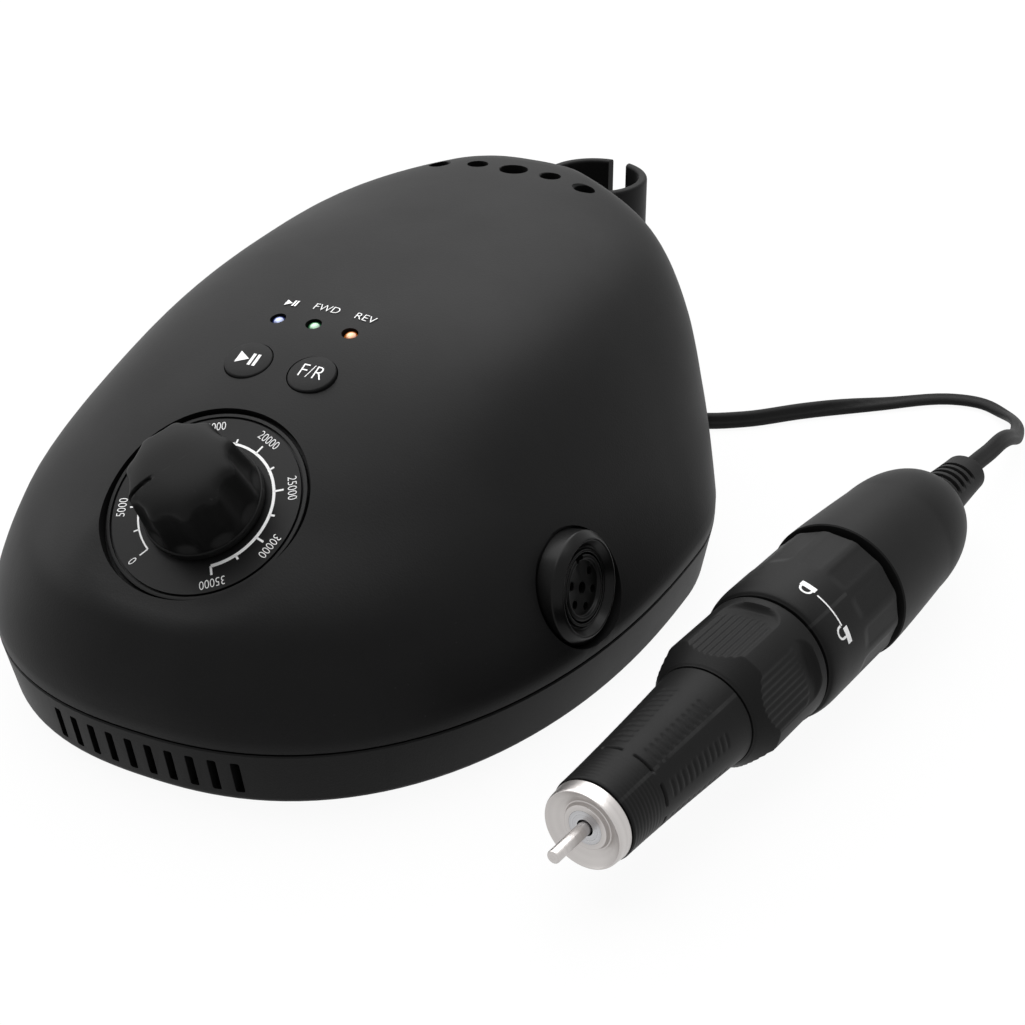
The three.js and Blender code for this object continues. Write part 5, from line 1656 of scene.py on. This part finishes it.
def add_socket():
    bore = INSERT_RADIUS + GAP
    ring = turned(
        [
            (bore, -SOCKET_BARREL),
            (SOCKET_BARREL_RADIUS, -SOCKET_BARREL),
            (SOCKET_BARREL_RADIUS, -SOCKET_SEAT + GAP),
            (SOCKET_RIM_RADIUS, -SOCKET_SEAT + GAP),
            (SOCKET_RIM_RADIUS, SOCKET_PROUD - SOCKET_BEVEL, 0.25),
            (SOCKET_RIM_RADIUS - SOCKET_BEVEL, SOCKET_PROUD, 0.25),
            (SOCKET_RIM_RADIUS - SOCKET_BEVEL - 0.4, SOCKET_PROUD, 0.15),
            (bore + 1.1, SOCKET_PROUD - 1.6, 0.3),
            (bore + 0.7, SOCKET_PROUD - 1.6, 0.2),
            (bore + 0.6, SOCKET_PROUD - 0.9, 0.2),
            (bore, SOCKET_PROUD - 0.9, 0.2),
        ],
        120,
    )
    finished("socket_collar", ring, trim_black, "control_unit", ("socket_ring",), socket_place, 40)
    body = turned(
        [
            (0, INSERT_TOP - INSERT_LENGTH),
            (INSERT_RADIUS, INSERT_TOP - INSERT_LENGTH),
            (INSERT_RADIUS, INSERT_TOP, 0.3),
            (5.3, INSERT_TOP, 0.15),
            (5.1, INSERT_TOP - 0.7, 0.15),
            (0, INSERT_TOP - 0.7),
        ],
        96,
    )
    holes = []
    liners = []
    for angle in contact_angles():
        spot = at(CONTACT_CIRCLE * math.cos(angle), CONTACT_CIRCLE * math.sin(angle))
        holes.append(disc(CONTACT_HOLE_RADIUS, INSERT_TOP - CONTACT_HOLE_DEPTH, INSERT_TOP + 1, 28, spot))
        liners.append(turned(
            [(0.38, INSERT_TOP - 4.6), (0.62, INSERT_TOP - 4.6), (0.62, INSERT_TOP - 2.2, 0.08), (0.38, INSERT_TOP - 2.5, 0.08)],
            24,
            spot,
        ))
    key = disc(CONTACT_HOLE_RADIUS * 1.4, INSERT_TOP - 3, INSERT_TOP + 1, 28, at(0, INSERT_RADIUS - 0.4))
    core = disc(1.1, INSERT_TOP - 3, INSERT_TOP + 1, 28)
    face = cut(body, together(*holes, key, core))
    finished("socket_face", face, trim_black, "control_unit", ("socket_insert",), socket_place, 30)
    finished("socket_contacts", together(*liners), steel_dark, "control_unit", (), socket_place)


def add_jack():
    seat = -REAR_SEAT + GAP
    back = seat - JACK_DEPTH
    barrel = JACK_RADIUS - JACK_FLANGE
    jack = turned(
        [
            (0, back - JACK_FLANGE),
            (barrel, back - JACK_FLANGE),
            (barrel, seat),
            (JACK_RADIUS, seat),
            (JACK_RADIUS, seat + JACK_FLANGE, 0.4),
            (JACK_BORE, seat + JACK_FLANGE, 0.3),
            (JACK_BORE, back),
            (0, back),
        ],
        72,
    )
    finished("supply_socket", jack, trim_black, "control_unit", ("supply_jack",), jack_place)
    pin = turned([(0, back + 0.02), (JACK_PIN_RADIUS, back + 0.02), (JACK_PIN_RADIUS, seat - 1, 0.4), (0, seat - 0.6)], 32)
    finished("supply_pin", pin, brass_turned, "control_unit", (), jack_place)


def add_rocker():
    seat = -REAR_SEAT + GAP
    wide, high = ROCKER_WIDTH + 2 * ROCKER_FRAME, ROCKER_HEIGHT + 2 * ROCKER_FRAME
    flange = block(wide, high, seat, seat + ROCKER_FRAME, 0.45)
    barrel = block(ROCKER_WIDTH + GAP, ROCKER_HEIGHT + GAP, seat - ROCKER_FRAME_DEPTH, seat + ROCKER_FRAME / 2)
    opening = block(
        ROCKER_WIDTH - ROCKER_FRAME,
        ROCKER_HEIGHT - ROCKER_FRAME,
        seat - ROCKER_FRAME_DEPTH + ROCKER_FRAME,
        seat + ROCKER_FRAME + OVERRUN,
        0.5,
        True,
    )
    housing = cut(combined(flange, "UNION", barrel), opening)
    finished(
        "rocker_bezel", housing, trim_black, "control_unit", ("rocker_frame",), rocker_place, 30
    )
    reach_out = (ROCKER_HEIGHT - ROCKER_FRAME) / 2 - GAP
    width = ROCKER_WIDTH - ROCKER_FRAME - 2 * GAP
    outline = []
    for angle in evenly(-ROCKER_CORNER, ROCKER_CORNER, 12):
        outline.append((reach_out * math.cos(angle), reach_out * math.sin(angle)))
    corner_x, corner_y = outline[-1]
    for share in (0.75, 0.5, 0.25):
        outline.append((corner_x * share, ROCKER_PIVOT + (corner_y - ROCKER_PIVOT) * share ** 1.6))
    outline.append((0, ROCKER_PIVOT))
    for share in (0.25, 0.5, 0.75):
        outline.append((-corner_x * share, ROCKER_PIVOT + (corner_y - ROCKER_PIVOT) * share ** 1.6))
    for angle in evenly(math.pi - ROCKER_CORNER, math.pi + ROCKER_CORNER, 12):
        outline.append((reach_out * math.cos(angle), reach_out * math.sin(angle)))
    bm = bmesh.new()
    bm.faces.new([bm.verts.new((x, y, -width / 2)) for x, y in outline])
    grown = bmesh.ops.extrude_face_region(bm, geom=bm.faces[:])["geom"]
    verts = [item for item in grown if isinstance(item, bmesh.types.BMVert)]
    bmesh.ops.translate(bm, vec=(0, 0, width), verts=verts)
    rim = [edge for edge in bm.edges if abs(edge.verts[0].co.z - edge.verts[1].co.z) < WELD]
    bmesh.ops.bevel(bm, geom=rim, offset=0.35, segments=3, profile=0.5, affect="EDGES", material=-1)
    upright = Matrix((BACK, UP, RIGHT)).transposed().to_4x4()
    place = rocker_place @ at(0, 0, -ROCKER_PIVOT) @ upright @ Matrix.Rotation(ROCKER_TILT, 4, "Z")
    finished("rocker_key", bm, trim_black, "power_rocker", ("power_rocker",), place, 25)
    face_turn = Matrix.Rotation(-QUARTER_TURN, 4, "X")
    on_mark = bar(0.7, 3.4)
    off_mark = arc_strip(1.5, 0, FULL_TURN, 0.6, 0.6, 48)
    on_mark.transform(rocker_mark_place(place, face_turn, outline, 0.62))
    off_mark.transform(rocker_mark_place(place, face_turn, outline, -0.62))
    finished("rocker_marks", together(on_mark, off_mark), ink_white, "power_rocker", (), None, 20)


def rocker_mark_place(place, face_turn, outline, share):
    """Place on one of the rocker's two faces, in its outline's plane."""
    reach_out = max(x for x, _ in outline)
    x = reach_out * share
    rising = sorted((abs(px - x), px, py) for px, py in outline if py > 1)[:2]
    (_, x1, y1), (_, x2, y2) = rising
    slope = (y2 - y1) / (x2 - x1)
    y = y1 + slope * (x - x1)
    tilt = Matrix.Rotation(math.atan(slope), 4, "Z")
    return place @ at(x, y + 0.02, 0) @ tilt @ face_turn @ Matrix.Rotation(QUARTER_TURN, 4, "Z")


def add_rest():
    outer = REST_INNER + REST_WALL
    bottom = REST_TOP - REST_HEIGHT
    ring = turned(
        [(REST_INNER, bottom, 0.5), (outer, bottom, 0.6), (outer, REST_TOP, 0.8), (REST_INNER, REST_TOP, 0.6)],
        120,
        at(0, REST_Y),
    )
    reach_back = REST_Y - rear_y(0, REST_TOP) + REAR_REACH
    neck = block(
        REST_NECK_WIDTH,
        reach_back,
        REST_TOP - REST_NECK_HEIGHT - REST_WALL,
        REST_TOP - REST_WALL,
        1.2,
        place=at(0, REST_Y - reach_back / 2),
    )
    bore = disc(REST_INNER, bottom + 0.9, REST_TOP - 0.9, 120, at(0, REST_Y))
    slot_place = at(0, REST_Y) @ Matrix.Rotation(REST_SLOT_TURN, 4, "Z") @ at(0, outer)
    slot = block(REST_SLOT, outer * 2, bottom - OVERRUN, REST_TOP + OVERRUN, place=slot_place)
    case = dome(-GAP, 96, 24, [(section(0, -GAP), BASE_BOTTOM)])
    shape = cut(combined(ring, "UNION", neck), bore, slot, case)
    finished("handpiece_cradle", shape, case_black, "control_unit", ("handpiece_rest",), crease=30)


add_socket()
add_jack()
add_rocker()
add_rest()


# Handpiece

def add_nose():
    cap = turned(
        [
            (3.1, 0.9),
            (4.0, 0.9, 0.1),
            (4.3, 1.9, 0.3),
            (6.75, 0.3, 0.25),
            (NOSE_RADIUS - 0.2, 0, 0.15),
            (NOSE_RADIUS, 0.4, 0.2),
            (NOSE_RADIUS + 0.2, NOSE_RIM_END, 0.15),
            (GRIP_BORE - 0.2, NOSE_RIM_END + 0.1),
            (GRIP_BORE - 0.2, NOSE_LENGTH),
            (3.1, NOSE_LENGTH),
        ],
        144,
    )
    finished("nose_metal", cap, steel_nose, "handpiece", ("nose_cap",), handpiece_place, 30)


def add_grip():
    profile = [(GRIP_BORE, GRIP_START), (GRIP_FRONT_RADIUS - 0.2, GRIP_START)]
    for s in evenly(GRIP_START + 0.25, GRIP_END, 190):
        share = (s - GRIP_START) / (GRIP_END - GRIP_START)
        profile.append((GRIP_FRONT_RADIUS + (GRIP_REAR_RADIUS - GRIP_FRONT_RADIUS) * share ** 1.3, s))
    profile += [
        (9, GRIP_END + GAP),
        (9, COLLAR_END),
        (GRIP_BORE, COLLAR_END),
    ]
    grip = turned(profile, GRIP_SIDES)

    def ribbed(radius, angle, s):
        if radius < GRIP_FRONT_RADIUS - 0.25 or s <= GRIP_START + 0.2 or s >= GRIP_END - 0.2:
            return radius, s
        off = abs(nearest_turn(angle, GRIP_COLUMNS, GRIP_COLUMN_ANGLE))
        narrow = 1 - ramp(off, math.radians(13), math.radians(16))
        front = ramp(s, GRIP_START + 0.4, GRIP_START + 0.9) * (1 - ramp(s, GRIP_RIB_START - 3, GRIP_RIB_START - 2.5))
        radius -= 0.045 * front * (0.5 - 0.5 * math.cos((s - GRIP_START - 0.4) * FULL_TURN / 0.9)) ** 2
        slit = 1 - ramp(abs(s - GRIP_RIB_START + 1.6), 0.12, 0.38)
        radius -= 0.4 * slit * narrow
        along = (s - GRIP_RIB_START) / GRIP_RIB_PITCH
        if 0 < along < GRIP_RIBS:
            width = math.radians(13) * (1 - 0.2 * along / GRIP_RIBS)
            window = 1 - ramp(off, width * 0.6, width)
            dip = (0.5 - 0.5 * math.cos(along * FULL_TURN)) ** 2
            radius -= 0.15 * window * dip
        return radius, s

    finished(
        "ribbed_grip", reshaped(grip, ribbed), grip_black, "handpiece", ("front_grip",), handpiece_place, 40
    )


def add_collar():
    front = GRIP_REAR_RADIUS + GAP
    profile = [(9.3, COLLAR_START), (front - 0.1, COLLAR_START), (front, COLLAR_START + 0.2)]
    for s in evenly(COLLAR_START + 0.4, COLLAR_START + COLLAR_CONE, 36):
        profile.append((COLLAR_RADIUS, s))
    for s in evenly(COLLAR_START + COLLAR_CONE + 0.3, COLLAR_END - 0.5, 44):
        profile.append((COLLAR_RADIUS, s))
    profile += [(COLLAR_RADIUS - 0.45, COLLAR_END), (9.3, COLLAR_END)]
    collar = turned(profile, COLLAR_SIDES)

    def panelled(radius, angle, s):
        if radius < front + 0.1 or s > COLLAR_END - 0.1:
            return radius, s
        half = math.acos(COLLAR_FLAT / COLLAR_RADIUS)
        off = nearest_turn(angle, COLLAR_PANELS, COLLAR_PANEL_ANGLE)
        rear_end = COLLAR_END - 2.2 - 2.4 * min(abs(off) / half, 1) ** 5
        window = 1 - ramp(s, rear_end - 1, rear_end)
        ridge = 0.15 * (0.5 + 0.5 * math.cos(off / half * math.pi * COLLAR_RIDGES))
        ridge *= 1 - ramp(s, rear_end - 3.8, rear_end - 2.8)
        flat = min((COLLAR_FLAT + ridge) / math.cos(min(abs(off), half)), COLLAR_RADIUS)
        body = COLLAR_RADIUS - (COLLAR_RADIUS - flat) * window
        cone = front + 0.1 + COLLAR_SLOPE * (s - COLLAR_START - 0.2)
        return min(body, cone), s

    finished(
        "panelled_collar",
        reshaped(collar, panelled),
        grip_black,
        "handpiece",
        ("faceted_collar",),
        handpiece_place,
        45,
    )


def add_lock_ring():
    profile = [
        (RING_BORE, RING_START),
        (RING_RADIUS - 1.1, RING_START),
        (RING_RADIUS - 0.8, RING_START + 0.3),
    ]
    for turn in evenly(0, QUARTER_TURN, 8)[1:]:
        profile.append((RING_RADIUS - 0.8 * (1 - math.sin(turn)), RING_START + 0.3 + 4.4 * (1 - math.cos(turn))))
    for s in evenly(RING_START + 5.1, RING_END - 0.7, 80):
        profile.append((RING_RADIUS, s))
    profile += [(RING_RADIUS - 0.6, RING_END), (RING_BORE, RING_END)]
    ring = turned(profile, RING_SIDES)

    def flatted(radius, angle, s):
        if radius < RING_RADIUS - 1 or s < RING_START + 5:
            return radius, s
        half = math.pi / RING_FLATS
        off = nearest_turn(angle, RING_FLATS, math.radians(118))
        front = RING_FLAT_START + 1.6 * (off / half) ** 4
        window = ramp(s, front, front + 2.4) * (1 - ramp(abs(off), half * 0.5, half))
        flat = RING_RADIUS * (1 - math.cos(off))
        return radius - window * max(RING_FLAT_DEPTH - flat, 0), s

    finished("twist_ring", reshaped(ring, flatted), grip_black, "lock_ring", ("lock_ring",), handpiece_place, 40)


def wrapped(bm, radius, angle, s):
    """Bends a flat print round the handpiece: its y runs round, its x runs along."""
    for vert in bm.verts:
        turn = angle + vert.co.y / radius
        height = radius + vert.co.z + PRINT_HEIGHT * 0.5
        vert.co = (height * math.cos(turn), height * math.sin(turn), s + vert.co.x)
    return bm


def padlock(closed):
    """Generic padlock: a body and a shackle, which stands open to one side when it is off."""
    body = block(1.3, 3.1, -PRINT_HEIGHT, PRINT_HEIGHT, place=at(0.65, 0))
    bmesh.ops.subdivide_edges(body, edges=body.edges[:], cuts=7, use_grid_fill=True)
    shackle = arc_strip(1.1, -QUARTER_TURN, QUARTER_TURN, 0.42, 0.42, 24)
    shift = (0, 0) if closed else (-0.5, -1.1)
    shackle.transform(at(-0.3 + shift[0], shift[1]) @ Matrix.Rotation(QUARTER_TURN, 4, "Z"))
    legs = [bar(0.5, 0.42, -0.15, -1.1), bar(0.5, 0.42, -0.15, 1.1)]
    if not closed:
        legs = [bar(0.9, 0.42, -0.35, 0), bar(0.5, 0.42, -0.6, -2.2)]
    return together(body, shackle, *legs)


def add_ring_marks():
    closed_mark = wrapped(padlock(True), RING_RADIUS, math.radians(106), RING_MARK)
    open_mark = wrapped(padlock(False), RING_RADIUS, math.radians(153.5), RING_MARK)
    line = bmesh.new()
    bmesh.ops.create_grid(line, x_segments=1, y_segments=24, size=0.5)
    bmesh.ops.scale(line, vec=(0.34, RING_RADIUS * math.radians(29), 1), verts=line.verts)
    grown = bmesh.ops.extrude_face_region(line, geom=line.faces[:])["geom"]
    verts = [item for item in grown if isinstance(item, bmesh.types.BMVert)]
    bmesh.ops.translate(line, vec=(0, 0, PRINT_HEIGHT), verts=verts)
    wrapped(line, RING_RADIUS, math.radians(130), RING_MARK)
    finished(
        "ring_marks", together(closed_mark, open_mark, line), ink_white, "lock_ring", (), handpiece_place, 20
    )


def add_housing():
    taper_end = HOUSING_START + HOUSING_TAPER
    wall = 1.4
    outer = [(HOUSING_FRONT - 0.25, HOUSING_START), (HOUSING_FRONT, HOUSING_START + 0.25)]
    for s in evenly(HOUSING_START + 1, taper_end - 1, 18):
        share = (s - HOUSING_START) / HOUSING_TAPER
        outer.append((HOUSING_FRONT - (HOUSING_FRONT - HOUSING_REAR) * share ** 1.3, s))
    dome = []
    for turn in evenly(0, QUARTER_TURN, 30):
        radius = HOUSING_DOME_END + (HOUSING_REAR - HOUSING_DOME_END) * math.cos(turn)
        dome.append((radius, taper_end + (HOUSING_END - taper_end) * math.sin(turn)))
    inner = [(max(radius - wall, 3.3), s - wall) for radius, s in reversed(dome)]
    profile = [
        (SLEEVE_BORE, SLEEVE_START),
        (SLEEVE_RADIUS, SLEEVE_START),
        (SLEEVE_RADIUS, HOUSING_START - 0.1),
        *outer,
        *dome,
        (3.3, HOUSING_END, 0.2),
        *inner,
        (MOTOR_RADIUS + 0.3, MOTOR_START - GAP),
        (SLEEVE_BORE, MOTOR_START - GAP),
    ]
    finished(
        "housing_shell", turned(profile, 160), grip_black, "handpiece", ("rear_housing",), handpiece_place
    )
    motor = turned(
        [
            (1.7, MOTOR_START),
            (MOTOR_RADIUS, MOTOR_START, 0.6),
            (MOTOR_RADIUS, MOTOR_END, 1.2),
            (4.2, MOTOR_END + 1, 0.4),
            (4.2, MOTOR_END + 5, 0.4),
            (1.7, MOTOR_END + 5),
        ],
        96,
    )
    finished("motor_can", motor, steel_dark, "handpiece", ("motor",), handpiece_place)


def add_relief():
    """Strain relief with open grooves between two side rails, ending in a flattened collar."""
    end = RELIEF_START + RELIEF_LENGTH
    profile = [(0, RELIEF_START - 3.7), (3, RELIEF_START - 3.7), (3, RELIEF_START)]
    for s in evenly(RELIEF_START, end - 0.8, 130):
        share = (s - RELIEF_START) / RELIEF_LENGTH
        profile.append((RELIEF_FRONT_RADIUS + (RELIEF_REAR_RADIUS - RELIEF_FRONT_RADIUS) * share, s))
    profile += [(RELIEF_REAR_RADIUS - 0.35, end - 0.25), (RELIEF_REAR_RADIUS - 1, end), (0, end)]
    relief = turned(profile, 96)
    groove_start = RELIEF_START + 0.9

    def grooved(radius, angle, s):
        if radius < 3.1 or s < RELIEF_START:
            return radius, s
        across = 1 - ramp(abs(math.cos(angle)), 0.78, 0.9)
        along = (s - groove_start) / RELIEF_PITCH
        dip = 0
        if 0 < along < RELIEF_RIBS:
            place = along % 1
            dip = ramp(place, 0.08, 0.2) * (1 - ramp(place, 0.48, 0.6))
        flat = ramp(s, RELIEF_START + 4, end - 2)
        upright = abs(math.sin(angle)) ** 2
        return (radius - 1.6 * dip * across) * (1 - 0.12 * flat * upright), s

    finished(
        "cord_relief",
        reshaped(relief, grooved),
        rubber_black,
        "handpiece",
        ("strain_relief",),
        handpiece_place,
        45,
    )


def add_spindle_parts():
    spindle = turned(
        [
            (2.37, 0.9),
            (3.07, 0.9),
            (3.05, 9.3),
            (3.6, 9.3),
            (3.6, 62),
            (1.5, 62),
            (1.5, 105),
            (0, 105),
            (0, 27),
            (2.37, 27),
        ],
        64,
    )
    finished("spindle_tube", spindle, steel_dark, "spindle", ("spindle",), handpiece_place)
    collet = turned([(1.5, 0.9), (2.35, 0.9), (2.35, 24.9), (1.5, 24.9), (1.5, 4)], 72)
    slits = []
    for i in range(3):
        slit = block(0.5, 4.2, 3, 13, place=Matrix.Rotation(i * FULL_TURN / 3, 4, "Z") @ at(0, 2.7))
        slits.append(slit)
    finished("collet_sleeve", cut(collet, *slits), steel_dark, "collet", ("collet",), handpiece_place, 25)
    shank = turned([(0, -8), (1.175, -8, 0.3), (1.175, 22), (0, 22)], 56)
    finished("steel_shank", shank, steel_nose, "bit_shank", ("bit_shank",), handpiece_place)


add_nose()
add_grip()
add_collar()
add_lock_ring()
add_ring_marks()
add_housing()
add_relief()
add_spindle_parts()


# Inner parts keep their solids and get their finishes

INNER_FINISHES = {
    "driver_board": board_green,
    "control_board": board_green,
    "heat_sink": aluminium_drawn,
    "capacitor_left": trim_black,
    "capacitor_right": trim_black,
    "potentiometer": steel_small,
    "potentiometer_nut": brass_turned,
    "start_switch": trim_black,
    "direction_switch": trim_black,
    "bearing_front": steel_dark,
    "bearing_rear": steel_dark,
}
for node_name, finish in INNER_FINISHES.items():
    for material_slot in nodes[node_name].material_slots:
        material_slot.material = finish


# Studio

def background_share(tree):
    """1 for what the camera, a reflection or a view through glass sees, else 0."""
    rays = node(tree, "ShaderNodeLightPath")
    seen = node(
        tree,
        "ShaderNodeMath",
        {0: rays.outputs["Is Camera Ray"], 1: rays.outputs["Is Glossy Ray"]},
        operation="MAXIMUM",
    )
    return node(
        tree,
        "ShaderNodeMath",
        {0: seen.outputs["Value"], 1: rays.outputs["Is Transmission Ray"]},
        operation="MAXIMUM",
    ).outputs["Value"]


def add_floor():
    bm = bmesh.new()
    bmesh.ops.create_grid(bm, x_segments=1, y_segments=1, size=6)
    mesh = bpy.data.meshes.new("floor")
    bm.to_mesh(mesh)
    bm.free()
    floor = linked("floor", mesh)
    floor.location.z = -0.0002
    material = bpy.data.materials.new("floor_paper")
    material.use_nodes = True
    tree = material.node_tree
    tree.nodes.clear()
    paper = node(tree, "ShaderNodeBsdfDiffuse", {"Color": (0.8, 0.8, 0.8, 1.0)})
    bright = node(tree, "ShaderNodeEmission", {"Color": (1.0, 1.0, 1.0, 1.0), "Strength": 1.0})
    share = scaled(tree, background_share(tree), 0.94)
    blend = node(
        tree, "ShaderNodeMixShader", {0: share, 1: paper.outputs["BSDF"], 2: bright.outputs["Emission"]}
    )
    output = tree.nodes.new("ShaderNodeOutputMaterial")
    tree.links.new(blend.outputs["Shader"], output.inputs["Surface"])
    mesh.materials.append(material)


def add_world():
    world = bpy.data.worlds.new("studio")
    bpy.context.scene.world = world
    world.use_nodes = True
    tree = world.node_tree
    tree.nodes.clear()
    dim = node(tree, "ShaderNodeBackground", {"Color": (1.0, 1.0, 1.0, 1.0), "Strength": 0.3})
    white = node(tree, "ShaderNodeBackground", {"Color": (1.0, 1.0, 1.0, 1.0), "Strength": 1.0})
    blend = node(
        tree,
        "ShaderNodeMixShader",
        {0: background_share(tree), 1: dim.outputs["Background"], 2: white.outputs["Background"]},
    )
    output = tree.nodes.new("ShaderNodeOutputWorld")
    tree.links.new(blend.outputs["Shader"], output.inputs["Surface"])


def add_softbox(name, place, target, width, height, power):
    light = bpy.data.lights.new(name, "AREA")
    light.shape = "RECTANGLE"
    light.size = width
    light.size_y = height
    light.energy = power
    lamp = linked(name, light)
    lamp.location = place
    lamp.rotation_euler = (Vector(target) - Vector(place)).to_track_quat("-Z", "Y").to_euler()


def add_camera():
    data = bpy.data.cameras.new("camera")
    data.sensor_width = CAMERA_SENSOR
    data.lens = CAMERA_LENS
    data.clip_start = 0.01
    data.clip_end = 20
    camera = linked("camera", data)
    camera.location = TO_FRAME @ Vector(CAMERA_PLACE)
    towards = Vector((
        math.sin(CAMERA_AZIMUTH) * math.cos(CAMERA_ELEVATION),
        -math.cos(CAMERA_AZIMUTH) * math.cos(CAMERA_ELEVATION),
        math.sin(CAMERA_ELEVATION),
    ))
    camera.rotation_euler = (-towards).to_track_quat("-Z", "Y").to_euler()
    bpy.context.scene.camera = camera


add_floor()
add_world()
add_softbox("overhead_softbox", (-0.2, 0.25, 0.9), (0, 0.02, 0.03), 1.3, 1.3, 18)
add_softbox("left_softbox", (-0.8, -0.1, 0.4), (0, 0, 0.04), 0.6, 0.5, 2)
add_camera()
bpy.context.scene.view_settings.view_transform = "Standard"
